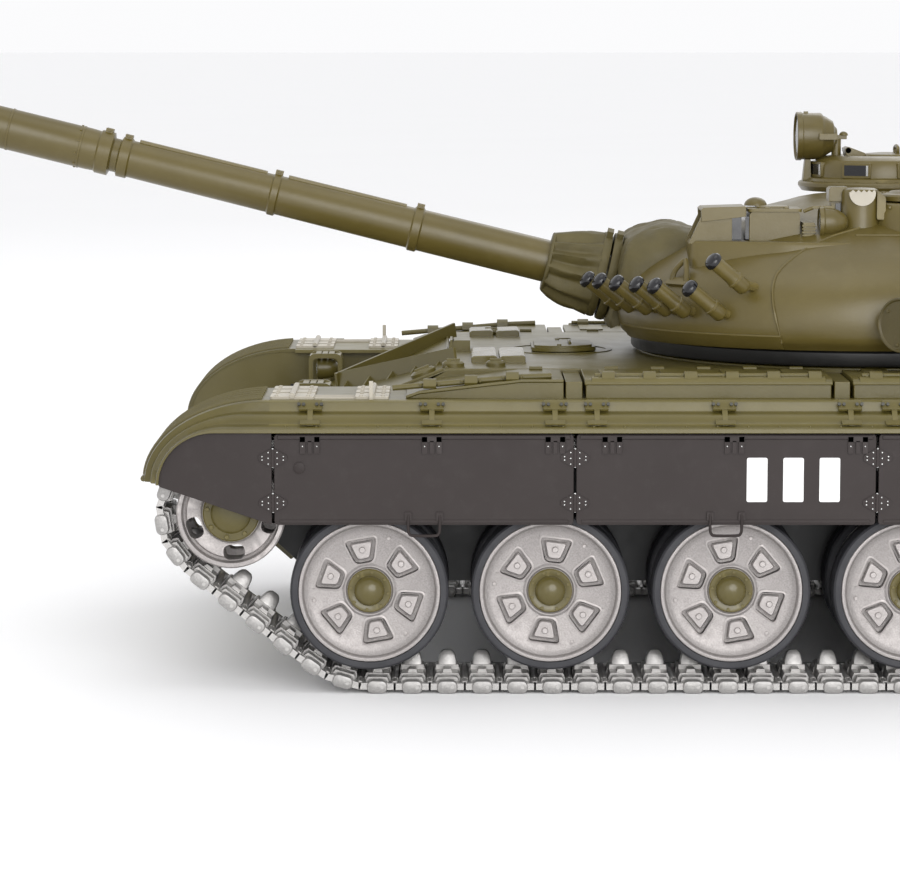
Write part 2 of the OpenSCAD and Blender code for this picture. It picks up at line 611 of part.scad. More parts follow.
module turret_shell() {
    color(olive) {
        difference() {
            cast_shell();
            // seat of the gunner's hatch and its hinge
            translate([gunner_x, gunner_y, hatch_seat_z]) cylinder(r = hatch_r - 1.4, h = 5);
            span([gunner_x - hatch_r - 2.5, gunner_y - 6.8, hatch_seat_z],
                [gunner_x - hatch_r + 3, gunner_y + 6.8, hatch_seat_z + 5]);
            // slot for the mantlet
            span([trunnion_x - 6, -slot_half, turret_z - 1], [110, slot_half, turret_top_z + 5]);
            along_y(trunnion_x, -slot_half, trunnion_z) cylinder(r = drum_r + move_gap, h = 2 * slot_half);
        }
        // gunner's sight and its open hood
        difference() {
            span([23.5, 30, 127], [40, 46, 141]);
            span([27, 33, 120], [37, 43, 137.6]);
        }
        difference() {
            side_slab([[40, 126], [57, 126], [52, 140], [40, 140]], 30, 46);
            span([40.5, 31.2, 120], [60, 44.8, 138.6]);
        }
        // night sight
        translate([2, 41, 126]) cylinder(r = 6, h = 15.8);
        // raised seats for the two hatches
        translate([gunner_x, gunner_y, 128]) cylinder(r = hatch_r, h = hatch_seat_z - 128);
        translate([cupola_x, cupola_y, 128]) cylinder(r = cupola_r, h = cupola_z - 128 - move_gap);
        // bracket of the lamp beside the gun
        span([74, -36.5, 105], [91, -31.5, 108.6]);
        // closed ends beside the mantlet
        for (y = [-slot_half - 2.4, slot_half + 0.4]) intersection() {
            side_slab([[38, turret_z], [88, turret_z], [80, 118], [62, 131], [38, 137]], y, y + 2);
            translate([0, 0, 90]) cylinder(r = 84, h = 60);
        }
    }
    // dark ring between the shell and the hull's roof, and the neck below it
    color(black) difference() {
        union() {
            translate([0, 0, ring_low_z]) cylinder(r = 73, h = turret_z - ring_low_z);
            translate([0, 0, roof_z - 6]) cylinder(r = neck_r, h = 8);
        }
        translate([0, 0, roof_z - 7]) cylinder(r = neck_r - 3, h = 20);
        span([50, -slot_half, 95], [80, slot_half, 110]);
    }
}

// One smoke discharger: local +Z points along the tube.
module discharger() {
    color(olive) {
        cylinder(r = 2.5, h = 4.4);
        translate([0, 0, 4.4]) cylinder(r = 2.25, h = 9);
    }
    color(black) translate([0, 0, 13.4]) cylinder(r = 2.6, h = 1.4);
}

// Tubes as [place around the turret in degrees, height, outward turn], seven left and five right.
left_tubes = [[60.5, 114.5, 22], [56.5, 107.4, 20], [46.5, 109, 20], [41, 109, 18], [34.5, 109, 16],
    [28, 109, 14], [21.5, 109, 12]];
right_tubes = [[60.5, 109, 22], [54.5, 109, 20], [48, 109, 18], [41, 109, 16], [34.5, 109, 14]];
tube_tilt = 38;
module tube_row(tubes) for (t = tubes) let (r = shell_r(t[0]) + 2.4)
    translate([r * cos(t[0]), r * sin(t[0]), t[1]]) rotate([0, 0, t[2]])
        rotate([0, 90 - tube_tilt, 0]) discharger();
module smoke_dischargers() {
    tube_row(left_tubes);
    on_side("right") tube_row(right_tubes);
}

module gun_searchlight() color(olive) translate([88, -34, 117]) {
    rotate([0, 90, 0]) cylinder(r = 7.4, h = 11);
    rotate([0, -90, 0]) cylinder(r1 = 7.4, r2 = 4, h = 4);
    span([-3, -2, 108.6 + glue_gap - 117], [3, 2, -6]);
}

module turret_stowage() {
    color(olive) {
        for (a = [118, 150, 182, 214]) rotate([0, 0, a]) span([80, -19, 101], [96, 19, 121]);
    }
    // short drum in front of the boxes, its lid turned half forwards
    color(dark_olive) translate([-2.4, 90, 108]) rotate([0, -90, 45]) cylinder(r = 8.2, h = 8);
}

// ---------------------------------------------------------------- gun

// Barrel sections: distance from the trunnions, start radius, end distance, end radius.
sections = [[20, 6.9, 82, 6.7], [82, 7.3, 85, 7.3], [85, 6.6, 129, 6.3], [129, 6.9, 131.5, 6.9],
    [131.5, 6.25, 178, 5.95], [178, 6.5, 181.5, 6.5], [181.5, 5.4, 184, 5.4], [184, 7, 188.5, 7],
    [188.5, 6.5, 192, 6.65], [192, 6.65, 243, 6.65], [243, 6.9, 246, 6.9], [246, 5.9, 284, 5.7],
    [284, 6.3, 286.5, 6.3], [286.5, 5.6, 314, 5.4], [314, muzzle_r, muzzle_d, muzzle_r]];
module gun_barrel() color(olive) along_barrel() difference() {
    rotate_extrude() polygon(concat([[0, 20]],
        [for (s = sections) each [[s[1], s[0]], [s[3], s[2]]]],
        [[bore_r, muzzle_d], [bore_r, muzzle_d - 40], [0, muzzle_d - 40]]));
}

// Drum sector about the trunnions, clamp rings and the pleated boot.
module gun_mantlet() color(olive) {
    difference() {
        translate([trunnion_x, slot_half - 1, trunnion_z]) rotate([90, 0, 0])
            linear_extrude(height = 2 * slot_half - 2) polygon(concat([[0, 0]],
                [for (a = [-30:5:140]) [drum_r * cos(a), drum_r * sin(a)]]));
        along_barrel() translate([0, 0, 19]) cylinder(r = 14, h = 20);
    }
    along_barrel() difference() {
        rotate_extrude() polygon([[6.9, 19], [13.8, 19], [13.8, 20.4], [13, 20.8], [13.8, 21.4],
            [13.8, 23], [12.6, 24], [11.6, 30], [9.1, 38], [9.1, 39], [6.9, 39]]);
    }
    // trunnion stubs
    for (y = [-slot_half + 0.6, slot_half - 1]) along_y(trunnion_x, y, trunnion_z) cylinder(r = 3, h = 0.4);
}

// ---------------------------------------------------------------- hatches and cupola

module gunner_hatch() color(olive) {
    translate([gunner_x, gunner_y, turret_top_z - 1]) cylinder(r = hatch_r - 2, h = 2.2);
    along_y(gunner_x - hatch_r + 1, gunner_y - 6, turret_top_z - 0.1) cylinder(r = 1, h = 12);
}

// Places on the cupola, measured from its centre and its lower face.
mount_x = -24.5;
mount_h = 15;
lamp_x = 18.5;
lamp_h = 16.4;
lamp_r = 7.8;
lid_x = -3;
lid_r = 12.4;
lid_h = 8;
lid_pin = [10.5, 11.8];

module commander_cupola() color(olive) translate([cupola_x, cupola_y, cupola_z]) {
    difference() {
        union() {
            cylinder(r = cupola_r - 0.6, h = 2);
            translate([0, 0, 1]) cylinder(r = cupola_r - 6.5, h = 7.4);
            translate([0, 0, 8]) cylinder(r = cupola_r - 9, h = 1.6);
        }
        translate([lid_x, 0, 2]) cylinder(r = lid_r + 0.6, h = 20);
        // vision windows
        for (a = [-60, -30, 30, 60]) rotate([0, 0, a]) span([cupola_r - 8, -3.4, 3.4], [cupola_r, 3.4, 6.8]);
    }
    // machine-gun posts at the rear
    for (y = [-5, 4]) span([mount_x - 2.5, y, 1], [mount_x + 3.5, y + 1, mount_h + 2]);
    along_y(mount_x, -4.5, mount_h) cylinder(r = 1, h = 9);
    // lamp post
    span([22.5, -2, 1], [25, 2, lamp_h - lamp_r - glue_gap]);
}

module commander_hatch() color(olive) translate([cupola_x, cupola_y, cupola_z]) {
    translate([lid_x, 0, lid_h]) cylinder(r = lid_r, h = 2);
    along_y(lid_pin[0], -5, lid_pin[1]) cylinder(r = 1, h = 10);
    span([lid_x + 8, -5, lid_h + 1.9], [lid_pin[0], 5, lid_pin[1] + 0.8]);
}

module antiair_gun() color(dark_olive) translate([cupola_x + mount_x, cupola_y, cupola_z + mount_h]) {
    difference() {
        span([-26, -2.4, -1.8], [3.4, 2.4, 4]);
        along_y(0, -4, 0) cylinder(r = 1 + run_gap, h = 8);
    }
    translate([-26, 0, 2]) rotate([0, -90, 0]) {
        cylinder(r = 1.3, h = 34);
        translate([0, 0, 34]) cylinder(r1 = 1.3, r2 = 2.2, h = 6);
    }
    // cartridge box
    span([-20, 3.4, -1], [-6, 10, 8]);
    span([-16, 2.3, 1], [-10, 3.5, 3]);
}

module cupola_light() color(olive) translate([cupola_x + lamp_x, cupola_y, cupola_z + lamp_h]) {
    rotate([0, 90, 0]) cylinder(r = lamp_r, h = 9);
    rotate([0, -90, 0]) cylinder(r1 = lamp_r - 0.8, r2 = 3, h = 4.6);
}

// ---------------------------------------------------------------- nodes

for (side = SIDES) for (k = [1:WHEELS]) {
    placed() on_side(side) along_y(wheel_x(k), track_y, axle_z) road_wheel();
    placed() on_side(side) translate([wheel_x(k), 0, axle_z]) swing_arm();
}
for (side = SIDES) for (k = [1:ROLLERS])
    placed() on_side(side) along_y(roller_x[k - 1], track_y,
            top_run_z(roller_x[k - 1]) - plate_in - roller_r - 0.3) return_roller();
for (side = SIDES) {
    placed() on_side(side) along_y(idler_x, track_y, idler_z) idler();
    placed() on_side(side) along_y(sprocket_x, track_y, sprocket_z) drive_sprocket();
    placed() on_side(side) track();
    placed() on_side(side) side_skirt();
}
placed() hull_tub();
placed() upper_hull();
placed() headlights();
placed() driver_hatch();
placed() rear_drums();
placed() battery_pack();
placed() battery_door();
placed() drive_units();
placed() control_board();
placed() speaker();
placed() power_switch();
placed() turret_shell();
placed() gun_barrel();
placed() gun_mantlet();
placed() gun_searchlight();
placed() smoke_dischargers();
placed() turret_stowage();
placed() gunner_hatch();
placed() commander_cupola();
placed() commander_hatch();
placed() antiair_gun();
placed() cupola_light();
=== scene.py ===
"""Radio-controlled tank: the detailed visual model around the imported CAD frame.

Shapes are drawn in millimetres in hull coordinates: x forward from the turret's axis, y to the
vehicle's left, z up from the ground. PLACE moves them into the frame.
"""

import json
import math

import bmesh
import bpy
from mathutils import Matrix, Vector


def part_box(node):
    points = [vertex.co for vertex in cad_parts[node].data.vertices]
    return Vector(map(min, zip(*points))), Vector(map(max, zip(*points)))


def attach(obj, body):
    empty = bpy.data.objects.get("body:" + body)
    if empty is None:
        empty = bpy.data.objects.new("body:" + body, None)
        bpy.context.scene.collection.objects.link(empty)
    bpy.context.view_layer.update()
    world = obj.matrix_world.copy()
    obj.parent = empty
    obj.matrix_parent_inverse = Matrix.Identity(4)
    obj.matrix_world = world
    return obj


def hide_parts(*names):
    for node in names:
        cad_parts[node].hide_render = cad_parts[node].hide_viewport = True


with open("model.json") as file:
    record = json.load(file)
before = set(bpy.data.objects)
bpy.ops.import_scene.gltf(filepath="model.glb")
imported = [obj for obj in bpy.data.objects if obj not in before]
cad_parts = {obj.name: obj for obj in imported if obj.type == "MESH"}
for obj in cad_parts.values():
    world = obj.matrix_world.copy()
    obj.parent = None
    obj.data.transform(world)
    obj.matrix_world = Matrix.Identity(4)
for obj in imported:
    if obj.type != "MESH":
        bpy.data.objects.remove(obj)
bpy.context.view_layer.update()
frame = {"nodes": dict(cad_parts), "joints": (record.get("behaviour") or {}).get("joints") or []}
JOINTS = {joint["name"]: joint for joint in frame["joints"]}

MM = 0.001
PLACE = Matrix.Translation((JOINTS["turret_traverse"]["pos_m"][0], 0, 0))
MIRROR = Matrix.Diagonal((1, -1, 1, 1))
SIDES = {"left": 1, "right": -1}


# ------------------------------------------------------------------ shapes


class Shape:
    """Points in millimetres and the faces between them."""

    def __init__(self):
        self.points, self.faces = [], []

    def add(self, part, at=Matrix()):
        points, faces = part
        base = len(self.points)
        self.points += [at @ Vector(p) for p in points]
        self.faces += [[base + i for i in face] for face in faces]
        return self

    def add_both(self, part, at=Matrix()):
        """Adds a part and its mirror image on the other side of the vehicle."""
        self.add(part, at)
        return self.add(part, MIRROR @ at)


def move(x, y, z):
    return Matrix.Translation((x, y, z))


def turn(degrees, axis):
    return Matrix.Rotation(math.radians(degrees), 4, axis)


def aim(origin, direction):
    """Turns +Z to a direction and moves it to the origin."""
    return Matrix.Translation(origin) @ Vector(direction).to_track_quat("Z", "Y").to_matrix().to_4x4()


AXLE = turn(-90, "X")  # turns +Z to +Y


def sideways(left):
    """Turns +Z to the vehicle's left, or else to its right."""
    return AXLE if left else turn(90, "X")


def rect(x0, y0, x1, y1):
    """The outline of a rectangle, from two opposite corners."""
    return [(x0, y0), (x1, y0), (x1, y1), (x0, y1)]


def box(low, high):
    """A block between two opposite corners."""
    (x0, y0, z0), (x1, y1, z1) = low, high
    points = [(x, y, z) for x in (x0, x1) for y in (y0, y1) for z in (z0, z1)]
    return points, [(0, 1, 3, 2), (4, 6, 7, 5), (0, 4, 5, 1), (2, 3, 7, 6), (0, 2, 6, 4), (1, 5, 7, 3)]


def loft(rings, ends=True):
    """A skin over closed rings of points. ends fills the first and the last ring."""
    count = len(rings[0])
    points = [p for ring in rings for p in ring]
    faces = []
    for i in range(len(rings) - 1):
        for j in range(count):
            a, b = i * count + j, i * count + (j + 1) % count
            faces.append((a, b, b + count, a + count))
    if ends:
        faces.append(tuple(range(count))[::-1])
        faces.append(tuple(range(len(points) - count, len(points))))
    return points, faces


def prism(outline, low, high, axis="y"):
    """An outline of (x, z), (y, z) or (x, y) points, drawn out along y, x or z."""
    order = {"y": lambda a, b, t: (a, t, b),
             "x": lambda a, b, t: (t, a, b),
             "z": lambda a, b, t: (a, b, t)}[axis]
    return loft([[order(a, b, t) for a, b in outline] for t in (low, high)])


def lathe(profile, steps=40):
    """A closed outline of (radius, height) points, turned about +Z."""
    rings = []
    for k in range(steps):
        c, s = math.cos(2 * math.pi * k / steps), math.sin(2 * math.pi * k / steps)
        rings.append([(r * c, r * s, z) for r, z in profile])
    return loft(rings + [rings[0]], ends=False)


def rod(start, end, radius, sides=12):
    """A round bar between two points."""
    start, end = Vector(start), Vector(end)
    at = aim(start, end - start)
    rings = []
    for z in (0, (end - start).length):
        rings.append([at @ Vector((radius * math.cos(a), radius * math.sin(a), z))
                      for a in (2 * math.pi * k / sides for k in range(sides))])
    return loft(rings)


def tube(path, radius, sides=8):
    """A round bar along a smooth path."""
    path = [Vector(p) for p in path]
    rings = []
    side = Vector((0, 0, 1))
    for i, point in enumerate(path):
        along = (path[min(i + 1, len(path) - 1)] - path[max(i - 1, 0)]).normalized()
        side = side - side.dot(along) * along
        if side.length < 1e-3:
            side = along.orthogonal()
        side.normalize()
        other = along.cross(side)
        rings.append([point + radius * (math.cos(a) * side + math.sin(a) * other)
                      for a in (2 * math.pi * k / sides for k in range(sides))])
    return loft(rings)


def smooth_path(points, steps=6):
    """A Catmull-Rom curve through the points."""
    points = [Vector(p) for p in points]
    ends = [2 * points[0] - points[1]] + points + [2 * points[-1] - points[-2]]
    out = []
    for i in range(1, len(ends) - 2):
        a, b, c, d = ends[i - 1:i + 3]
        for k in range(steps):
            t = k / steps
            out.append(0.5 * (2 * b + (c - a) * t + (2 * a - 5 * b + 4 * c - d) * t ** 2
                              + (3 * b - a - 3 * c + d) * t ** 3))
    return out + [points[-1]]


def dome(radius, height, steps=24):
    """A cap that stands on z = 0."""
    profile = [(radius * math.cos(math.pi / 2 * k / 6), height * math.sin(math.pi / 2 * k / 6))
               for k in range(7)]
    return lathe([(0, 0)] + profile, steps)


def bolt(radius, height, sides=6):
    """A hexagon head that stands on z = 0."""
    return lathe([(0, 0), (radius, 0), (radius, height * 0.8), (radius * 0.8, height), (0, height)], sides)


def mirrored(point):
    """The same point on the other side of the vehicle."""
    return Vector((point.x, -point.y, point.z))


def on_circle(radius, degrees, z=0.0):
    a = math.radians(degrees)
    return Vector((radius * math.cos(a), radius * math.sin(a), z))


# ------------------------------------------------------------------ pieces


def mesh_of(name, shape, carve=None):
    """A Blender mesh in metres, with its normals outward. carve is a shape to cut away."""
    mesh = bpy.data.meshes.new(name)
    mesh.from_pydata([p * MM for p in shape.points], [], shape.faces)
    bm = bmesh.new()
    bm.from_mesh(mesh)
    bmesh.ops.remove_doubles(bm, verts=bm.verts, dist=1e-6)
    bmesh.ops.dissolve_degenerate(bm, edges=bm.edges, dist=1e-7)
    bmesh.ops.recalc_face_normals(bm, faces=bm.faces)
    bm.to_mesh(mesh)
    bm.free()
    if carve is not None:
        host = bpy.data.objects.new(name, mesh)
        cutter = bpy.data.objects.new(name + "_cutter", mesh_of(name + "_cutter", carve))
        for o in (host, cutter):
            bpy.context.scene.collection.objects.link(o)
        cut = host.modifiers.new("cut", "BOOLEAN")
        cut.operation, cut.object, cut.solver, cut.use_self = "DIFFERENCE", cutter, "EXACT", True
        graph = bpy.context.evaluated_depsgraph_get()
        mesh = bpy.data.meshes.new_from_object(host.evaluated_get(graph))
        mesh.name = name
        for o in (host, cutter):
            bpy.data.objects.remove(o)
    return mesh


def piece(name, shape, body, look, bevel=0.0, sharp=35, at=PLACE, replaces=()):
    """One visible piece that rides on a body. shape is a Shape or a ready mesh. look is a key of LOOKS."""
    mesh = shape if isinstance(shape, bpy.types.Mesh) else mesh_of(name, shape)
    if not mesh.materials:
        mesh.materials.append(LOOKS[look])
        mesh.shade_smooth()
        mesh.set_sharp_from_angle(angle=math.radians(sharp))
    o = bpy.data.objects.new(name, mesh)
    bpy.context.scene.collection.objects.link(o)
    o.matrix_world = at
    if bevel:
        edge = o.modifiers.new("bevel", "BEVEL")
        edge.width, edge.segments, edge.limit_method = bevel * MM, 2, "ANGLE"
        edge.angle_limit, edge.harden_normals = math.radians(40), True
    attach(o, body)
    if replaces:
        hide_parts(*replaces)
    return o


def dress(node, look):
    """Gives a CAD node that stays visible its material."""
    o = frame["nodes"][node]
    o.data.materials.clear()
    o.data.materials.append(LOOKS[look])


# ------------------------------------------------------------------ materials


class Nodes:
    """A material's node tree, with short names for the nodes used here."""

    def __init__(self, name):
        self.material = bpy.data.materials.new(name)
        self.material.use_nodes = True
        self.tree = self.material.node_tree
        self.shader = self.tree.nodes["Principled BSDF"]
        self.place = self.tree.nodes.new("ShaderNodeTexCoord").outputs["Object"]

    def link(self, source, target):
        self.tree.links.new(source, target)

    def noise(self, size_mm, detail=3.0, roughness=0.55, stretch=None):
        """Noise whose features are about size_mm across."""
        node = self.tree.nodes.new("ShaderNodeTexNoise")
        node.inputs["Scale"].default_value = 1.0 / (size_mm * MM)
        node.inputs["Detail"].default_value = detail
        node.inputs["Roughness"].default_value = roughness
        source = self.place
        if stretch:
            mapping = self.tree.nodes.new("ShaderNodeMapping")
            mapping.inputs["Scale"].default_value = stretch
            self.link(source, mapping.inputs["Vector"])
            source = mapping.outputs["Vector"]
        self.link(source, node.inputs["Vector"])
        return node.outputs["Fac"]

    def ramp(self, source, low, high, low_out, high_out):
        """Maps a value range onto another, held at its ends."""
        node = self.tree.nodes.new("ShaderNodeMapRange")
        for key, value in zip(("From Min", "From Max", "To Min", "To Max"), (low, high, low_out, high_out)):
            node.inputs[key].default_value = value
        self.link(source, node.inputs["Value"])
        return node.outputs["Result"]

    def mix(self, share, first, second):
        """Mixes two colours. Each is a colour or another node's output."""
        node = self.tree.nodes.new("ShaderNodeMix")
        node.data_type = "RGBA"
        self.link(share, node.inputs["Factor"])
        for key, value in (("A", first), ("B", second)):
            socket = [s for s in node.inputs if s.name == key and s.type == "RGBA"][0]
            if isinstance(value, tuple):
                socket.default_value = (*value, 1)
            else:
                self.link(value, socket)
        return [s for s in node.outputs if s.type == "RGBA"][0]

    def bump(self, source, depth_mm, strength=1.0, below=None):
        """Relief from a value. below is another relief under this one."""
        node = self.tree.nodes.new("ShaderNodeBump")
        node.inputs["Distance"].default_value = depth_mm * MM
        node.inputs["Strength"].default_value = strength
        self.link(source, node.inputs["Height"])
        if below is not None:
            self.link(below, node.inputs["Normal"])
        return node.outputs["Normal"]

    def edges(self, first, second, low=0.52, high=0.62):
        """Mixes towards the second colour along the outer edges, where they are rubbed paler."""
        point = self.tree.nodes.new("ShaderNodeNewGeometry").outputs["Pointiness"]
        return self.mix(self.ramp(point, low, high, 0.0, 1.0), first, second)

    def finish(self, colour=None, roughness=None, normal=None, **fixed):
        """Fills the shader's sockets from outputs, colours or numbers, and gives back the material."""
        for key, value in fixed.items():
            self.shader.inputs[key.replace("_", " ")].default_value = value
        for socket, source in (("Base Color", colour), ("Roughness", roughness), ("Normal", normal)):
            if isinstance(source, tuple):
                self.shader.inputs[socket].default_value = (*source, 1)
            elif isinstance(source, float):
                self.shader.inputs[socket].default_value = source
            elif source is not None:
                self.link(source, self.shader.inputs[socket])
        return self.material


def paint(name, tone, gloss, grain_mm=0.9, grain=0.02, spread=0.1, wear_and_highlight=1.5, shine=0.5):
    """Matt moulded plastic with a coat of paint: slow colour drift, fine grain and paler edges."""
    n = Nodes(name)
    dark = tuple(c * (1 - spread) for c in tone)
    light = tuple(c * (1 + spread) for c in tone)
    drift = n.mix(n.ramp(n.noise(26, 4), 0.35, 0.65, 0, 1), dark, light)
    dusty = n.mix(n.ramp(n.noise(5, 5, 0.7), 0.52, 0.75, 0, 0.5), drift, tuple(c * 1.12 + 0.01 for c in tone))
    colour = n.edges(dusty, tuple(min(c * wear_and_highlight + 0.01, 0.9) for c in tone), 0.53, 0.66)
    rough = n.ramp(n.noise(9, 4, 0.65), 0.3, 0.7, gloss - 0.03, gloss + 0.05)
    normal = n.bump(n.noise(grain_mm, 4, 0.6), grain)
    return n.finish(colour, rough, normal, Specular_IOR_Level=shine)


def cast_metal(name, tone, gloss, speckle_mm, depth, dark_share=0.7):
    """Sand-cast alloy: speckled, with darker pores and brighter rubbed edges."""
    n = Nodes(name)
    base = n.mix(n.ramp(n.noise(speckle_mm, 5, 0.7), 0.35, 0.62, 0, 1), tuple(c * dark_share for c in tone),
                 tone)
    patch = n.mix(n.ramp(n.noise(7, 3), 0.4, 0.65, 0, 0.5), base, tuple(c * 0.86 for c in tone))
    colour = n.edges(patch, tuple(min(c * 1.25, 0.95) for c in tone), 0.52, 0.6)
    rough = n.ramp(n.noise(2.2, 4), 0.3, 0.7, gloss - 0.08, gloss + 0.1)
    return n.finish(colour, rough, n.bump(n.noise(speckle_mm, 4, 0.65), depth), Metallic=0.55)


def rubber():
    """Dark tyre rubber."""
    n = Nodes("tyre_rubber")
    colour = n.mix(n.ramp(n.noise(12, 4, 0.6), 0.4, 0.7, 0, 1), (0.02, 0.02, 0.024), (0.036, 0.036, 0.041))
    return n.finish(colour, n.ramp(n.noise(3, 3), 0.3, 0.7, 0.5, 0.7), n.bump(n.noise(0.5, 3), 0.03))


def canvas():
    """Olive cloth: a fine crossed weave with soft creases."""
    n = Nodes("canvas")
    tone = (0.085, 0.068, 0.019)
    waves = []
    for axis in "XY":
        wave = n.tree.nodes.new("ShaderNodeTexWave")
        wave.bands_direction = axis
        wave.inputs["Scale"].default_value = 320
        n.link(n.place, wave.inputs["Vector"])
        waves.append(wave.outputs["Fac"])
    weave = n.bump(waves[0], 0.02, 0.6, n.bump(waves[1], 0.02, 0.6, n.bump(n.noise(7, 3), 0.35)))
    colour = n.mix(n.ramp(n.noise(8, 4), 0.35, 0.7, 0, 1), tuple(c * 0.85 for c in tone),
                   tuple(c * 1.1 for c in tone))
    return n.finish(colour, n.ramp(n.noise(6), 0.3, 0.7, 0.52, 0.68), weave)


def wood():
    """A log's grain, drawn out along it."""
    n = Nodes("log_wood")
    grain = n.noise(2.5, 6, 0.7, stretch=(1, 0.08, 1))
    colour = n.mix(n.ramp(grain, 0.3, 0.7, 0, 1), (0.1, 0.06, 0.032), (0.3, 0.2, 0.11))
    return n.finish(colour, n.ramp(grain, 0.3, 0.7, 0.6, 0.8), n.bump(grain, 0.35))


def plain(name, tone, gloss, metallic=0.0, grain=0.01):
    """Unpainted plastic or metal with a slight drift of colour."""
    n = Nodes(name)
    colour = n.mix(n.ramp(n.noise(10, 3), 0.35, 0.65, 0, 1), tuple(c * 0.88 for c in tone),
                   tuple(c * 1.08 for c in tone))
    rough = n.ramp(n.noise(4, 3), 0.3, 0.7, max(gloss - 0.04, 0.02), gloss + 0.06)
    return n.finish(colour, rough, n.bump(n.noise(1.0, 3), grain), Metallic=metallic)


def lens():
    """Ribbed lamp glass that lets light through."""
    n = Nodes("lamp_glass")
    ribs = n.tree.nodes.new("ShaderNodeTexWave")
    ribs.bands_direction = "Y"
    ribs.inputs["Scale"].default_value = 160
    n.link(n.place, ribs.inputs["Vector"])
    return n.finish((0.75, 0.78, 0.78), 0.08, n.bump(ribs.outputs["Fac"], 0.05), Alpha=0.45, IOR=1.5)


LOOKS = {
    "olive": paint("olive_paint", (0.084, 0.068, 0.0145), 0.31, shine=0.45),
    "turret": paint("turret_paint", (0.098, 0.0745, 0.0175), 0.32, grain_mm=1.4, grain=0.035, spread=0.07),
    "skirt": paint("skirt_plastic", (0.0285, 0.0222, 0.021), 0.46,
                   grain=0.012, spread=0.05, wear_and_highlight=1.25, shine=0.2),
    "black": plain("black_plastic", (0.007, 0.007, 0.0075), 0.4, grain=0.015),
    "alloy": cast_metal("wheel_alloy", (0.36, 0.335, 0.325), 0.42, 0.5, 0.09),
    "track": cast_metal("track_metal", (0.33, 0.32, 0.31), 0.36, 0.6, 0.07, 0.65),
    "rubber": rubber(),
    "canvas": canvas(),
    "glossy": paint("hub_paint", (0.094, 0.076, 0.0195), 0.2, grain=0.008),
    # darker olive for the side drum: painted shade
    "shaded": paint("drum_painted_shade", (0.064, 0.05, 0.014), 0.4, grain=0.03, spread=0.07),
    # pale cream paint: a painted highlight, standing in for the light on flat upward faces
    "wear_and_highlight": paint("pale_highlight_paint", (0.36, 0.33, 0.27), 0.4, spread=0.12, wear_and_highlight=1.3),
    "glass": lens(),
    "gloss_black": plain("lens_black", (0.008, 0.008, 0.01), 0.12, grain=0.0),
    "gunmetal": plain("gun_metal", (0.045, 0.044, 0.035), 0.36, 0.3),
    "film": plain("battery_film", (0.02, 0.09, 0.3), 0.25),
    "board": plain("circuit_board", (0.01, 0.08, 0.03), 0.3),
    "wood": wood(),
    "white": plain("white_mark", (0.8, 0.8, 0.79), 0.45),
    "steel": plain("steel_bright", (0.55, 0.55, 0.54), 0.28, 0.9),
}

# ------------------------------------------------------------------ camera, floor and light

CAMERA_AT = Vector((132, 1081, 190.2))
CAMERA_DIP = 6.64
CAMERA_LENS = 134.1
FLOOR_REACH = 400.0  # metres


def make_camera():
    """The photo's view: from the left, square to the hull and a little above it."""
    data = bpy.data.cameras.new("camera")
    data.lens, data.sensor_width = CAMERA_LENS, 36
    data.clip_start, data.clip_end = 0.05, 100
    camera = bpy.data.objects.new("camera", data)
    bpy.context.scene.collection.objects.link(camera)
    dip = math.radians(CAMERA_DIP)
    look = Vector((0, -math.cos(dip), -math.sin(dip)))
    camera.rotation_mode = "QUATERNION"
    camera.rotation_quaternion = look.to_track_quat("-Z", "Y")
    camera.location = PLACE @ (CAMERA_AT * MM)
    bpy.context.scene.camera = camera


def area_light(name, at, target, size, power):
    data = bpy.data.lights.new(name, "AREA")
    data.shape, data.size, data.energy = "DISK", size, power
    light = bpy.data.objects.new(name, data)
    bpy.context.scene.collection.objects.link(light)
    light.location = at
    light.rotation_mode = "QUATERNION"
    light.rotation_quaternion = (Vector(target) - Vector(at)).to_track_quat("-Z", "Y")


def make_stage():
    """A white floor that runs to the horizon, a white world and four soft lamps."""
    mesh = bpy.data.meshes.new("floor")
    mesh.from_pydata([(x, y, 0) for x, y in rect(-FLOOR_REACH, -FLOOR_REACH, FLOOR_REACH, FLOOR_REACH)],
                     [], [(0, 1, 2, 3)])
    n = Nodes("floor")
    n.finish(n.mix(n.noise(400, 2), (0.93, 0.93, 0.935), (0.95, 0.95, 0.955)), 0.6, None)
    mesh.materials.append(n.material)
    floor = bpy.data.objects.new("floor", mesh)
    bpy.context.scene.collection.objects.link(floor)
    world = bpy.data.worlds.new("studio")
    world.use_nodes = True
    world.node_tree.nodes["Background"].inputs["Color"].default_value = (1, 1, 1.01, 1)
    world.node_tree.nodes["Background"].inputs["Strength"].default_value = 0.97
    bpy.context.scene.world = world
    area_light("top", (0.1, 0.3, 2.2), (0, 0, 0.05), 1.6, 5)
    area_light("side", (0.5, 1.9, 0.45), (0, 0, 0.1), 1.2, 4)
    area_light("fill", (-0.42, 1.75, 0.55), (0, 0, 0.12), 1.3, 17)
    area_light("back", (-0.6, -1.6, 1.2), (0, 0, 0.08), 1.0, 4)
    bpy.context.scene.view_settings.view_transform = "Standard"


make_camera()
make_stage()

# ------------------------------------------------------------------ running gear

TRACK_Y = 87.2
WHEEL_X = [155.8 - 53.4 * k for k in range(6)]
AXLE_Z, WHEEL_R = 30.4, 23.4
IDLER, SPROCKET = (196.5, 53.5), (-156, 51)
DISC_OUT = 17.3  # outer faces of the wheels, from their middle
LINKS = 82
PIVOT_X, PIVOT_Z = 14.5, 5.8  # a swing arm's pivot, from its axle


def spot(x, y, z, turned=Matrix()):
    """A place in the frame for a mesh drawn about its own origin."""
    return PLACE @ Matrix.Translation(Vector((x, y, z)) * MM) @ turned


def outward(side, spin=0.0):
    """Turns local +Z away from the hull on one side."""
    return turn(-90 * SIDES[side], "X") @ turn(spin, "Z")


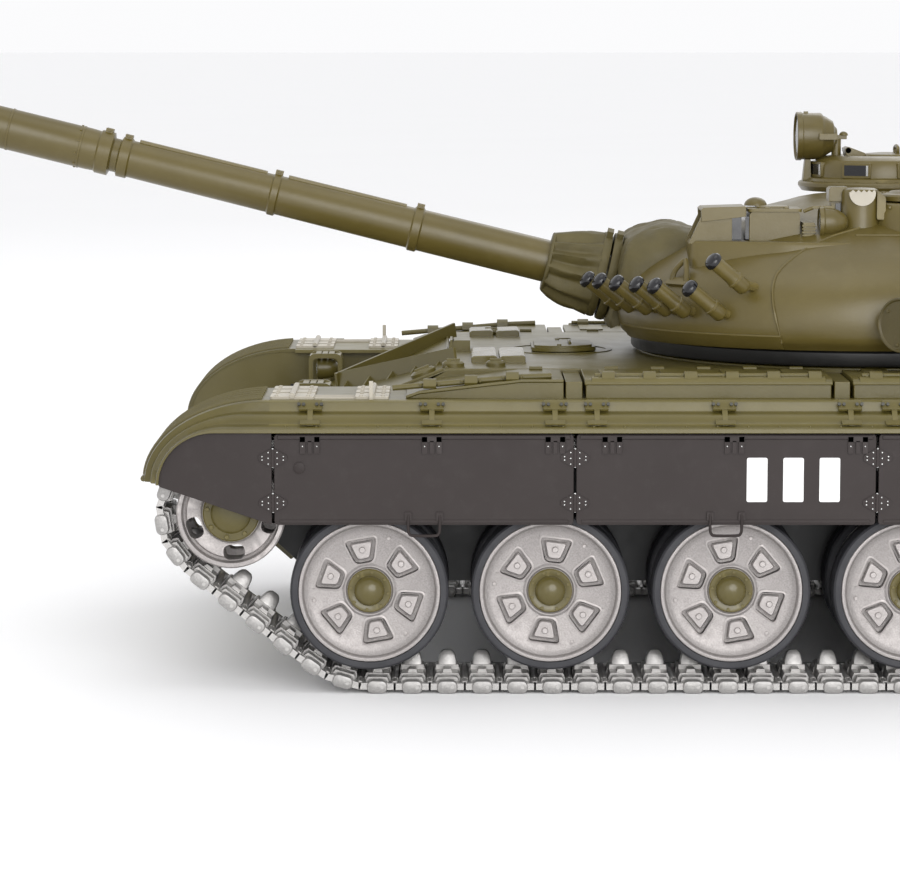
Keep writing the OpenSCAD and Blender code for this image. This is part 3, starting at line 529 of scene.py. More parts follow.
def ring_of(shape, part, count, radius=0, z=0, start=0, at=Matrix()):
    """Adds a part to a shape, repeated around +Z. radius, z and start place the first one."""
    for k in range(count):
        shape.add(part, at @ turn(360 * k / count + start, "Z") @ move(radius, 0, z))
    return shape


def rounded(outline, radius, steps=3):
    """The outline with its corners rounded."""
    out = []
    for i, corner in enumerate(outline):
        before, after = Vector(outline[i - 1]), Vector(outline[(i + 1) % len(outline)])
        corner = Vector(corner)
        cut = min(radius, (before - corner).length / 2.01, (after - corner).length / 2.01)
        a = corner + (before - corner).normalized() * cut
        b = corner + (after - corner).normalized() * cut
        for k in range(steps + 1):
            t = k / steps
            out.append(tuple((1 - t) ** 2 * a + 2 * t * (1 - t) * corner + t ** 2 * b))
    return out


def wheel_meshes():
    """A pair of cast discs with six pockets, their screws and hub, the tyres and the hub cap."""
    rim = WHEEL_R - 2.3
    outer = [(0, 12), (rim - 0.1, 7), (rim - 0.1, 17.0), (rim - 0.4, DISC_OUT), (rim - 1.1, DISC_OUT),
             (rim - 1.5, 16.9), (rim - 1.7, 15.9), (rim - 2.6, 15.3), (rim - 3.6, 14.9), (8.0, 14.4),
             (7.2, 14.9), (6.6, 14.4), (0, 14.4)]
    disc = Shape().add(lathe(outer, 60))
    pocket = rounded([(8.3, -2.7), (15.6, -4.9), (15.6, 4.9), (8.3, 2.7)], 1.5)
    cut = ring_of(Shape(), prism(pocket, 12.2, 18, "z"), 6)
    floor = rounded([(9.3, -1.9), (14.5, -3.5), (14.5, 3.5), (9.3, 1.9)], 1.0)
    outer_lip = rounded([(7.8, -3.2), (16.2, -5.5), (16.2, 5.5), (7.8, 3.2)], 1.7)
    inner = [(0, -8), (rim - 0.1, -6.2), (rim - 0.1, -DISC_OUT), (rim - 1.5, -DISC_OUT), (rim - 2.3, -14),
             (6.6, -13.4), (0, -13.4)]
    detail = Shape().add(lathe(inner, 40)).add(lathe(rect(0, -8, 6.6, 13), 24))
    for k in range(6):
        lip = ((outer_lip, 14.2), (outer_lip, 14.75), (pocket, 15.0), (pocket, 12.6))
        detail.add(loft([[(x, y, z) for x, y in edge] for edge, z in lip], ends=False), turn(60 * k, "Z"))
        detail.add(loft([[(x, y, 12.1) for x, y in floor], [(x, y, 13.7) for x, y in floor],
                         [(12 + (x - 12) * 0.86, y * 0.86, 14.1) for x, y in floor]]), turn(60 * k, "Z"))
        detail.add(bolt(0.95, 1.1, 12), turn(60 * k, "Z") @ move(12.2, 0, 13.7))
    ring_of(detail, bolt(0.55, 0.5, 10), 3, 16.6, 14.8, 30)
    tyre = Shape()
    for low, high in ((6.2, DISC_OUT), (-DISC_OUT, -6.2)):
        mid = (low + high) / 2
        tyre.add(lathe([(rim, low), (WHEEL_R - 0.7, low), (WHEEL_R - 0.15, low + 0.5), (WHEEL_R, low + 1.2),
                        (WHEEL_R, mid - 0.4), (WHEEL_R - 0.35, mid), (WHEEL_R, mid + 0.4),
                        (WHEEL_R, high - 1.2), (WHEEL_R - 0.15, high - 0.5), (WHEEL_R - 0.7, high),
                        (rim, high)], 72))
    crown = [(4.5 * math.cos(math.radians(a)), 15.1 + 3.1 * math.sin(math.radians(a)))
             for a in range(0, 91, 10)]
    cap = Shape().add(lathe([(0, 13.9), (6.5, 13.9), (6.5, 15.0), (6.2, 15.3), (5.2, 15.3),
                             (4.8, 15.1)] + crown, 48))
    ring_of(cap, bolt(0.5, 0.45), 8, 5.6, 15.25, 12)
    return (mesh_of("wheel_disc", disc, carve=cut), mesh_of("wheel_detail", detail),
            mesh_of("wheel_tyre", tyre), mesh_of("wheel_cap", cap))


def idler_meshes():
    """A pair of discs with five oval holes, the notched rim and the hub cap."""
    r = 16.1
    face = [(0, 9), (9, 6.4), (r - 0.6, 6.4), (r, 7), (r, 16.9), (r - 0.4, DISC_OUT), (r - 1.5, DISC_OUT),
            (r - 1.9, 16.4), (r - 2.0, 15.4), (r - 2.6, 15.0), (r - 3.1, 15.4), (9.2, 14.9), (8.6, 14.4),
            (0, 14.4)]
    disc = Shape().add(lathe(face, 60))
    disc.add(lathe([(0, -8), (9, -6.4), (r, -6.4), (r, -DISC_OUT), (r - 1.4, -DISC_OUT), (r - 2, -12),
                    (6, -11), (0, -11)], 60))
    oval = rounded(rect(-3.2, -2.2, 3.2, 2.2), 2.1, 4)
    cut = Shape()
    ring_of(cut, prism([(b, a) for a, b in oval], -19, 19, "z"), 5, 11.6, 0, 10)
    detail = Shape().add(lathe(rect(0, -8, 8.2, 8), 30))
    ring_of(detail, box((-0.5, -0.9, 0), (0.6, 0.9, 0.6)), 20, r - 0.9)
    cap = Shape().add(lathe([(0, 14.2), (8.4, 14.2), (8.4, 15.4), (8, 15.8), (6, 15.8), (5.6, 16.4),
                             (4.6, 17.0), (2.4, DISC_OUT), (0, DISC_OUT)], 36))
    ring_of(cap, bolt(0.75, 0.8), 8, 7.1, 15.7, 22.5)
    return mesh_of("idler_disc", disc, carve=cut), mesh_of("idler_detail", detail), mesh_of("idler_cap", cap)


def sprocket_meshes():
    """Two toothed rings, the hub between them and the hub cap."""
    teeth = 12
    outline = []
    for k in range(teeth):
        middle = 360 / teeth * (k + 0.5)
        for r, spread in ((13.6, -10.5), (14.4, -8.6), (16.2, -5.6), (17.1, -3.4), (17.5, 0), (17.1, 3.4),
                          (16.2, 5.6), (14.4, 8.6)):
            point = on_circle(r, middle + spread)
            outline.append((point.x, point.y))
    ring, cut = Shape(), Shape()
    for low, high in ((10.2, 13.8), (-13.8, -10.2)):
        ring.add(prism(outline, low, high, "z"))
    ring_of(cut, rod((0, 0, -15), (0, 0, 15), 2.4, 20), 6, 10.4)
    detail = Shape().add(lathe([(0, -14.4), (6, -14.4), (6, -9), (7.5, -7), (7.5, 7), (6, 9), (6, 15.4),
                                (0, 15.4)], 30))
    ring_of(detail, bolt(0.5, 0.6), 12, 7.4, 13.7)
    cap = Shape().add(lathe([(0, 15.3), (7.5, 15.3), (7.5, 16.4), (7, 16.9), (4.6, 16.9), (4.3, 17.6),
                             (3, 18.3), (0, 18.4)], 32))
    ring_of(cap, bolt(0.6, 0.6), 10, 6, 16.8)
    return (mesh_of("sprocket_rings", ring, carve=cut), mesh_of("sprocket_detail", detail),
            mesh_of("sprocket_cap", cap))


def belt_places():
    """Middle and direction of each track link, from the circles that the pins' line wraps."""
    circles = [(WHEEL_X[5], AXLE_Z, 28.2), (WHEEL_X[0], AXLE_Z, 28.2), (*IDLER, 20.9), (*SPROCKET, 19.5)]
    legs = []
    for i, (ax, az, ar) in enumerate(circles):
        bx, bz, br = circles[(i + 1) % 4]
        gap = math.hypot(bx - ax, bz - az)
        leave = math.atan2(bz - az, bx - ax) - math.acos((ar - br) / gap)
        legs.append((leave, math.sqrt(gap ** 2 - (ar - br) ** 2)))
    path = []
    for i in range(4):
        leave, length = legs[i]
        x, z, r = circles[i]
        start = (x + r * math.cos(leave), z + r * math.sin(leave))
        path.append(("run", start, (-math.sin(leave), math.cos(leave)), length))
        after = legs[(i + 1) % 4][0]
        wrap = (after - leave) % (2 * math.pi)
        x, z, r = circles[(i + 1) % 4]
        path.append(("arc", (x, z), (leave, r), wrap * r))
    total = sum(leg[3] for leg in path)

    def at(s):
        s %= total
        for kind, where, how, length in path:
            if s <= length:
                if kind == "run":
                    return where[0] + how[0] * s, where[1] + how[1] * s
                a = how[0] + s / how[1]
                return where[0] + how[1] * math.cos(a), where[1] + how[1] * math.sin(a)
            s -= length
        return path[0][1]
    pins = [at(k * total / LINKS) for k in range(LINKS + 1)]
    return [((a[0] + b[0]) / 2, (a[1] + b[1]) / 2, math.degrees(math.atan2(b[1] - a[1], b[0] - a[0])))
            for a, b in zip(pins, pins[1:])]


def link_part():
    """One cast link: x along the track, y across it and z towards the wheels."""
    link = Shape()
    pad = [(-3.9, -0.9), (-3.3, -1.7), (-1.2, -1.7), (-0.9, -1.3), (0.9, -1.3), (1.2, -1.7), (3.3, -1.7),
           (3.9, -0.9), (3.9, 1.1), (3.3, 2.4), (-3.3, 2.4), (-3.9, 1.1)]
    end = rounded(rect(-3.05, -2.15, 3.05, 1.65), 1.85, 5)
    for sign in (-1, 1):
        link.add(prism(pad, sign * 3.1, sign * 9.4))
        link.add(prism([(x * 0.86, z * 0.8 + 0.1) for x, z in pad], sign * 10.2, sign * 14.0))
        link.add(prism([(-1.5, 2.2), (1.5, 2.2), (1.1, 3.5), (-1.1, 3.5)], sign * 4.4, sign * 8.6))
        link.add(loft([[(x * share, sign * y, -0.25 + (z + 0.25) * share) for x, z in end]
                       for y, share in ((14.6, 1), (17.7, 1), (18.15, 0.9), (18.3, 0.72))]))
        link.add(rod((-1.5, sign * 18.2, -0.25), (-1.5, sign * 18.4, -0.25), 0.55, 12))
        # necks to the pins, a little behind the ends' faces
        low, high = sorted((sign * 15.2, sign * 17.5))
        for x in (-4.15, 4.15):
            link.add(box((x - 1.35, low, -1.15), (x + 1.35, high, 0.8)))
        link.add(rod((-5.19, sign * 9.2, 0), (-5.19, sign * 15.4, 0), 1.15, 10))
        link.add(box((-1.6, sign * 4.2 - 1.1, -2.15), (1.6, sign * 4.2 + 1.1, -1.5)))
    link.add(prism([(-3.6, -1.3), (3.6, -1.3), (3.3, 3.8), (-3.3, 3.8)], -3, 3))
    link.add(rod((-5.19, -9.4, 0), (-5.19, 9.4, 0), 1.25, 8))
    rings = []
    for half_x, half_y, z in ((2.9, 2.6, 3.4), (2.75, 2.3, 5.0), (2.4, 1.9, 6.4), (1.9, 1.5, 7.3),
                              (1.2, 1.0, 7.85), (0.4, 0.4, 8.0)):
        rings.append([(x, y, z) for x,
                      y in rounded(rect(-half_x, -half_y, half_x, half_y), half_x * 0.45, 2)])
    link.add(loft(rings))
    return link.points, link.faces


def running_gear():
    """Wheels, swing arms, idlers, sprockets, tracks and return rollers on both sides."""
    disc, detail, tyre, cap = wheel_meshes()
    rest_spin = (20, 37, 20, 22, 48, 5)
    for side, sign in SIDES.items():
        for k, x in enumerate(WHEEL_X):
            tag, body = f"{side}_{k + 1}", f"wheel_{side}_{k + 1}"
            at = spot(x, TRACK_Y * sign, AXLE_Z, outward(side, -rest_spin[k]))
            piece(f"wheel_disc_{tag}", disc, body, "alloy", at=at, bevel=0.25, replaces=[f"road_wheel_{tag}"])
            piece(f"wheel_screws_{tag}", detail, body, "alloy", at=at)
            piece(f"wheel_tyre_{tag}", tyre, body, "rubber", at=at)
            piece(f"wheel_cap_{tag}", cap, body, "glossy", at=at)
            arm(tag, sign, x)
        face, notches, hub = IDLER_MESHES
        at = spot(IDLER[0], TRACK_Y * sign, IDLER[1], outward(side, 12))
        piece(f"idler_disc_{side}", face, f"idler_wheel_{side}", "alloy", at=at, bevel=0.25,
              replaces=[f"idler_{side}"])
        piece(f"idler_notches_{side}", notches, f"idler_wheel_{side}", "alloy", at=at)
        piece(f"idler_cap_{side}", hub, f"idler_wheel_{side}", "olive", at=at)
        rings, core, hub = SPROCKET_MESHES
        at = spot(SPROCKET[0], TRACK_Y * sign, SPROCKET[1], outward(side))
        piece(f"sprocket_rings_{side}", rings, f"sprocket_{side}", "alloy", at=at, bevel=0.3,
              replaces=[f"drive_sprocket_{side}"])
        piece(f"sprocket_hub_{side}", core, f"sprocket_{side}", "alloy", at=at)
        piece(f"sprocket_cap_{side}", hub, f"sprocket_{side}", "olive", at=at)
        shaft = Shape().add(rod((0, 0, -43), (0, 0, -14), 2, 20))
        piece(f"sprocket_shaft_{side}", shaft, f"sprocket_{side}", "steel", at=at)
        track = Shape()
        for x, z, slope in BELT:
            track.add(LINK, move(x, TRACK_Y * sign, z) @ turn(-slope, "Y"))
        piece(f"track_links_{side}", track, "hull", "track", sharp=28, replaces=[f"track_{side}"])
        for k in range(3):
            low, high = frame_corners(f"return_roller_{side}_{k + 1}")
            x, z = (low.x + high.x) / 2, (low.z + high.z) / 2
            at = spot(x, TRACK_Y * sign, z, outward(side))
            piece(f"roller_{side}_{k + 1}", ROLLER[0], f"roller_{side}_{k + 1}", "alloy", at=at,
                  replaces=[f"return_roller_{side}_{k + 1}"])
            piece(f"roller_tyre_{side}_{k + 1}", ROLLER[1], f"roller_{side}_{k + 1}", "rubber", at=at)


def frame_corners(node):
    """A CAD node's corners in hull coordinates, in millimetres."""
    low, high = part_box(node)
    shift = PLACE.inverted()
    return (shift @ low) / MM, (shift @ high) / MM


def arm(tag, sign, x):
    """A cast trailing arm with its axle and pivot, drawn for the left-hand side."""
    shape = Shape()
    for px, pz in ((0, 0), (PIVOT_X, PIVOT_Z)):
        shape.add(lathe([(0, 0), (3.6, 0), (4, 0.5), (4, 3.9), (3.5, 4.4), (0, 4.4)], 24),
                  move(px, 63, pz) @ AXLE)
        shape.add(bolt(1.9, 0.5), move(px, 67.4, pz) @ AXLE)
    slope = turn(-math.degrees(math.atan2(PIVOT_Z, PIVOT_X)), "Y")
    shape.add(prism([(1, -3), (14.6, -2.4), (14.6, 2.4), (1, 3)], 63.2, 66.6), slope)
    shape.add(prism([(3, -1.2), (12, -0.9), (12, 0.9), (3, 1.2)], 66.5, 67.2), slope)
    shape.add(rod((0, 64, 0), (0, 99, 0), 2, 20))
    shape.add(rod((PIVOT_X, 58.2, PIVOT_Z), (PIVOT_X, 63.2, PIVOT_Z), 2.4, 20))
    if sign < 0:
        shape.points = [mirrored(p) for p in shape.points]
    at = spot(x, 0, AXLE_Z)
    piece(f"arm_{tag}", shape, f"arm_{tag}", "black", at=at, bevel=0.2, replaces=[f"swing_arm_{tag}"])


LINK = link_part()
BELT = belt_places()
IDLER_MESHES, SPROCKET_MESHES = idler_meshes(), sprocket_meshes()
ROLLER = (mesh_of("roller_disc", Shape().add(lathe(
    [(0, -DISC_OUT), (5.6, -DISC_OUT), (5.6, -8.1), (4, -8.1), (3.4, -6.6), (0, -6.6)], 30))),
    mesh_of("roller_tyre", Shape().add(lathe(
        [(5.5, -17.2), (7, -17.2), (7.5, -16.7), (7.5, -8.7), (7, -8.2), (5.5, -8.2)], 36))))
running_gear()

# ------------------------------------------------------------------ hull

ROOF_Z, FENDER_Z = 92.8, 87.0
TAIL_X, KNEE_X, NOSE_X = -192, 133, 210  # the glacis runs down from the knee to the nose
TIP_Z = 63  # the glacis plate's lower edge
SPLASH_X = 168  # where the two wings of the splash board meet


def glacis_z(x):
    """Height of the glacis plate at x."""
    return ROOF_Z - (x - KNEE_X) * (ROOF_Z - TIP_Z) / (NOSE_X - KNEE_X)


def on_glacis(x, y):
    """A place on the glacis with +Z out of the plate."""
    slope = math.degrees(math.atan2(ROOF_Z - TIP_Z, NOSE_X - KNEE_X))
    return move(x, y, glacis_z(x)) @ turn(slope, "Y")


def hull_deck():
    """Deck, glacis and rear plate, with their blocks, caps, grilles and welds."""
    deck = Shape()
    deck.add(prism([(TAIL_X, ROOF_Z - 2.2), (132.2, ROOF_Z - 2.2), (NOSE_X, TIP_Z - 2.3), (NOSE_X, TIP_Z),
                    (KNEE_X, ROOF_Z), (TAIL_X, ROOF_Z)], -66, 66))
    for sign in (-1, 1):
        low, high = sorted((62.4 * sign, 66 * sign))
        deck.add(prism([(TAIL_X, 78.1), (158, 78.1), (209.5, glacis_z(NOSE_X) - 1), (KNEE_X, ROOF_Z - 0.1),
                        (TAIL_X, ROOF_Z - 0.1)], low, high))
    deck.add(box((TAIL_X, -66, 78.1), (TAIL_X + 2, 66, ROOF_Z - 0.1)))
    piece("hull_deck", deck, "hull", "olive", bevel=0.5, replaces=["upper_hull"])
    detail = Shape()
    detail.add(lathe([(0, ROOF_Z - 1), (71, ROOF_Z - 1), (71, ROOF_Z + 0.4), (70.6, ROOF_Z + 0.6),
                      (0, ROOF_Z + 0.6)], 96))
    # splash board: two wings that meet in a V, with stiffeners on their rear faces
    for sign in (-1, 1):
        wing = move(SPLASH_X, 0, glacis_z(SPLASH_X) - 1) @ (turn(sign * 129, "Z") @ turn(-11.6, "Y"))
        detail.add(box((-0.4, -0.5, 0), (62, 0.5, 7)), wing)
        rear = turn(180, "Z") @ Matrix.Diagonal((-1, 1, 1, 1)) if sign > 0 else Matrix()
        for k in range(5):
            detail.add(prism([(0, 0), (4.4, 0), (0, 4.2)], 6 + 12 * k - 0.4, 6 + 12 * k + 0.4, "x"),
                       wing @ rear)
    # periscope block and hatch seat
    detail.add(prism([(125.5, 92), (131.5, 92), (131.5, 95.2), (130.6, 96.2), (125.5, 96.2)], -6, 6))
    detail.add(prism([(131.2, 93.6), (132.4, 93.6), (131.9, 96.4), (131.2, 96.4)], -6.6, 6.6))
    detail.add(lathe(rect(15.4, 0, 17.4, 0.35), 48), move(DRIVER_X, 0, ROOF_Z - 0.1))
    # filler caps and lifting eyes on the front deck
    for x, y, r in ((140, 56, 4), (131, 58, 3.4), (118, 57, 3), (118, -57, 3.4)):
        base = on_glacis(x, y) if x > KNEE_X else move(x, y, ROOF_Z)
        detail.add(lathe([(0, -0.3), (r, -0.3), (r, 1), (r * 0.8, 1.6), (0, 1.9)], 24), base)
        detail.add(box((-r * 0.6, -0.4, 1.4), (r * 0.6, 0.4, 2.4)), base)
    for x, y in ((190, 40), (190, -40)):
        hook = [(-5, -1), (5, -1), (4, 3), (1.4, 5.4), (-1.4, 5.4), (-4, 3)]
        detail.add(prism(hook, -1.4, 1.4), on_glacis(x, y))
    # armour blocks in rows across the glacis
    for row in range(3):
        for k in range(-3, 4):
            if (row, k) in ((0, -3), (0, 3)):
                continue
            at = on_glacis(178 + 11 * row, k * 15.5)
            detail.add(prism(rounded(rect(-5, -7.2, 5, 7.2), 1, 2), -0.2, 1.5, "z"), at)
            for x, y in ((-3.6, -5.6), (-3.6, 5.6), (3.6, -5.6), (3.6, 5.6)):
                detail.add(bolt(0.55, 0.5), at @ move(x, y, 1.45))
    tiles = Shape()
    for y, deep in ((16, 30), (-63, 16)):
        for x in (108.6, 117.4):
            tile = [(0, 0), (8, 0), (8, 1.8), (7.2, 2.3), (0.8, 2.5), (0, 2)]
            tiles.add(prism([(x + u, ROOF_Z - 0.3 + w) for u, w in tile], y, y + deep))
    piece("deck_tiles", tiles, "hull", "glossy", bevel=0.25)
    # engine deck: louvres in their frame, and two access plates with handles
    for k in range(8):
        x = -134.8 - 5 * k
        detail.add(prism([(x - 1.9, ROOF_Z - 0.2), (x + 1.2, ROOF_Z - 0.2), (x + 1.9, ROOF_Z + 1.3),
                          (x + 1.3, ROOF_Z + 1.5), (x - 1.9, ROOF_Z + 0.2)], -52, 52))
    for y in (-53.5, 52):
        detail.add(box((-175, y, ROOF_Z - 0.2), (-131, y + 1.5, ROOF_Z + 1.6)))
    for x in (-175.5, -132):
        detail.add(box((x, -53.5, ROOF_Z - 0.2), (x + 1.4, 53.5, ROOF_Z + 1.6)))
    for y in (-30, 30):
        plate = rounded(rect(-126, y - 24, -88, y + 24), 2)
        detail.add(prism(plate, ROOF_Z - 0.2, ROOF_Z + 0.8, "z"))
        for x in (-123, -107, -91):
            for dy in (-21, 21):
                detail.add(bolt(0.9, 0.7), move(x, y + dy, ROOF_Z + 0.7))
        detail.add(tube(smooth_path([(-113, y - 6, ROOF_Z), (-113, y - 6, ROOF_Z + 3),
                                     (-113, y, ROOF_Z + 3.4), (-113, y + 6, ROOF_Z + 3),
                                     (-113, y + 6, ROOF_Z)], 4), 0.7))
        for dx in (-84, -80):
            detail.add(box((dx - 1, y - 20, ROOF_Z - 0.2), (dx + 1, y + 20, ROOF_Z + 0.7)))
    # glacis edge welds
    for sign in (-1, 1):
        detail.add(tube([(134 + 5 * k, 65.6 * sign, glacis_z(134 + 5 * k) + 0.1) for k in range(16)], 0.5, 6))
    detail.add(tube([(KNEE_X, -65 + 5 * k, ROOF_Z + 0.05) for k in range(27)], 0.45, 6))
    # rear plate: engine grille and lamps
    for k in range(7):
        detail.add(box((TAIL_X - 0.8, -44, 79.6 + 1.9 * k), (TAIL_X + 0.2, 44, 80.4 + 1.9 * k)))
    for y in (-58, 58):
        detail.add(lathe([(0, 0), (3, 0), (3, 3), (2.4, 3.6), (0, 3.6)], 20),
                   aim((TAIL_X, y, 86), (-1, 0, 0)))
    piece("hull_fittings", detail, "hull", "olive", bevel=0.18)
    glass = Shape()
    glass.add(box((131.4, -5, 94.2), (132.3, 5, 95.8)))
    piece("driver_window", glass, "hull", "gloss_black")


def fender_outline():
    """Fender cross-section (y, z) from the hull outward, with the folded steps of its edge."""
    outer = [(62.4, 87), (98.2, 87), (102.6, 87), (103.4, 86.6), (104.2, 83.9), (105.2, 83.4), (106.6, 83.2),
             (107.4, 82.7), (108.2, 80.6), (109.2, 80.1), (111.2, 79.9), (111.9, 79.5), (112, 78.3)]
    under = [(111.2, 78.2), (110.7, 78.9), (108.6, 79.2), (107.6, 79.8), (106.6, 81.8), (105, 82.4),
             (103.4, 82.9), (102.4, 85.2), (101.6, 85.8), (62.4, 85.8)]
    return outer + under


def guard_point(y, z, t):
    """The point of the mudguard that continues fender point (y, z), at angle t of its quarter turn."""
    low = (FENDER_Z - z) / 8.8
    start, end = 185 + 16 * low, 222 - 5 * low
    return start + (end - start) * math.sin(t), y, TIP_Z + (z - TIP_Z) * math.cos(t)


BOX_ENDS = ((98.5, 145), (19.2, 92.3), (-60, 13.3), (-139.2, -65.9), (-194, -145.1))


def fenders():
    """Fenders with their mudguards, stowage boxes, clips and hinges, on both sides."""
    outline = fender_outline()
    plate, fittings, boxes, hinges, screws = Shape(), Shape(), Shape(), Shape(), Shape()
    plate.add_both(prism(outline, -204, 185, "x"))
    steps = 22
    guard = [[(184.8, max(y, 66.2), z) for y, z in outline]]
    guard += [[guard_point(max(y, 66.2), z, math.pi / 2 * k / steps) for y,
               z in outline] for k in range(steps + 1)]
    plate.add_both(loft(guard))
    # ribs pressed along the mudguard, and its rolled lower edge
    for y in (70, 76, 82, 88, 94, 99):
        rib = [guard_point(y, 87.2, math.pi / 2 * k / steps) for k in range(1, steps)]
        plate.add_both(tube(rib, 0.75, 6))
    plate.add_both(rod((222.4, 67, 63.6), (222.4, 101, 63.6), 0.9, 8))
    plate.add_both(prism([(62.6, 62), (110, 62), (110, 80), (62.6, 86)], -204, -202.6, "x"))
    for y in (70, 86, 102):
        plate.add_both(rod((-204.3, y, 63), (-204.3, y, 80), 0.8, 6))
    # stowage boxes; the front one slopes down to the mudguard
    for k, (low, high) in enumerate(BOX_ENDS):
        body = [(66, 86.6), (97.6, 86.6), (98, 87), (98, 91.2), (97.6, 91.6), (66, 91.8)]
        lid = [(66, 91), (98.5, 91), (98.6, 91.8), (97.8, 92.4), (96.6, 92.8), (66, 92.9)]
        if k:
            boxes.add_both(prism(body, low + 0.4, high - 0.4, "x"))
            boxes.add_both(prism(lid, low, high, "x"))
            rim = [(y, z + 0.6) if z > 92 else (y, z) for y, z in lid[2:5]]
            boxes.add_both(prism(rim + [(95, 92.8), (95, 92)], low + 2, high - 2, "x"))
            boxes.add_both(prism([(66, 86.6), (97, 86.6), (97, 91.9), (66, 92)], high + 0.6,
                                 BOX_ENDS[k - 1][0] - 0.6, "x"))
        else:
            top = [(low, 91.8), (high - 34, 91.8), (high - 4, 88.4), (high, 87)]
            boxes.add_both(prism([(low, 86.6)] + top[::-1], 66, 97.8))
            boxes.add_both(prism(top + [(x, z + 0.9) for x, z in top[::-1]], 66, 98.4))
        count = max(1, round((high - low - 10) / 12.2))
        # a lid rod along the top edge, held by a row of clasps
        rod_path = [(low + 3, 95.2, 93.7), (high - 3, 95.2, 93.7)]
        if k == 0:
            rod_path = [(102, 95.2, 93.5), (112, 95.2, 93.1), (149, 95.2, 89.9)]
        fittings.add_both(tube(rod_path, 0.6 if k else 0.85, 10))
        for n in range(count + 1):
            x = high - 7 - n * 12.2
            if x < low + 4:
                continue
            drop = max(0, x - 112) * 0.0865 if k == 0 else 0
            clasp = [(92.8, 92.5), (97.4, 92.1), (98, 92.9), (97, 94.3), (95.8, 94.9), (94.6, 94.9), (93, 94)]
            fittings.add_both(prism([(y, z - drop) for y, z in clasp], x - 1.9, x + 1.9, "x"))
            for dx in (-2.6, 2.6):
                fittings.add_both(bolt(0.5, 0.6, 8), move(x + dx, 96.6, 92.9 - drop))
        # hinges along the inner edge
        for x in range(int(low) + 8, int(high) - 30 * (k == 0), 14):
            fittings.add_both(rod((x - 2, 68, 93), (x + 2, 68, 93), 0.7, 8))
        # lid ribs
        if k:
            for n in range(4):
                x = low + (high - low) * (n + 0.5) / 4
                fittings.add_both(prism(rounded(rect(x - 4, 72, x + 4, 90), 1.2), 92.6, 93.3, "z"))
    # fender edge: joint straps, screws and clips
    for x in range(-198, 184, 9):
        fittings.add_both(bolt(0.4, 0.35), move(x, 110.2, 79.95))
    for x in (172.9, 137.3, 101.3, 89.0, 51.6, 14.8, 2, -36, -73, -84, -122, -160):
        fittings.add_both(prism([(104.4, 85.2), (106.4, 84.4), (108.2, 81.6), (109.4, 80.9), (109.4, 80.2),
                                 (104.4, 83)], x - 0.8, x + 0.8, "x"))
        fittings.add_both(prism([(103.4, 86.9), (104.5, 84.4), (105.3, 84.1), (105.7, 84.7), (104.8, 86.5),
                                 (104, 87.3)], x - 3.4, x + 3.4, "x"))
        fittings.add_both(prism([(108.4, 81.2), (110.4, 80.5), (110.6, 81.0), (108.8, 81.9)],
                                x - 2.9, x + 2.9, "x"))
        for dx in (-3.3, -1.9, 1.9, 3.3):
            screws.add_both(rod((x + dx, 104.8, 85.9), (x + dx, 105.9, 86.3), 0.5, 8))
        for dx in (-2.3, 2.3):
            screws.add_both(bolt(0.42, 0.4, 8), move(x + dx, 109.7, 80.9))
    # hinge plates between the fender and its mudguard, joined by three strips; their pale colour is a painted
    # highlight
    for low, high in ((172, 185), (150, 160)):
        for first, last in ((68.6, 76), (79, 86.4), (89.6, 99.6)):
            hinges.add_both(prism(rounded(rect(low, first, high, last), 0.8), 86.8, 87.8, "z"))
            for x in (low + 1.8, high - 1.8):
                for y in (first + 1.6, last - 1.6):
                    hinges.add_both(bolt(0.6, 0.4), move(x, y, 87.7))
        hinges.add_both(rod(((low + high) / 2, 68.6, 88), ((low + high) / 2, 99.8, 88), 0.9, 12))
    hinges.add_both(box((154.6, 99.4, 86.8), (155.8, 100.6, 92.4)))
    for y in (92, 95, 98):
        hinges.add_both(box((159.6, y - 0.5, 86.8), (172.4, y + 0.5, 87.5)))
    # inner wall of the mudguard, beside the nose
    wall = [guard_point(0, 86, math.radians(t))[::2] for t in range(0, 91, 9)]
    plate.add_both(prism([(140, 86), *wall, (218, 62.4), (206, 66), (196, 72), (140, 78)], 66.4, 67.2))
    piece("fender_plates", plate, "hull", "olive", bevel=0.15, sharp=40)
    piece("fender_boxes", boxes, "hull", "olive", bevel=0.3)
    piece("fender_fittings", fittings, "hull", "olive", bevel=0.1)
    # pale paint on the hinge plates and strips: painted highlight
    piece("fender_hinges", hinges, "hull", "wear_and_highlight", bevel=0.12)
    piece("fender_screws", screws, "hull", "gunmetal")


PANEL_LONG = 88.2
PANEL_X = [183.7 - PANEL_LONG * k for k in range(5)]
SKIRT_LOW, SKIRT_TOP = 51.2, 77.9


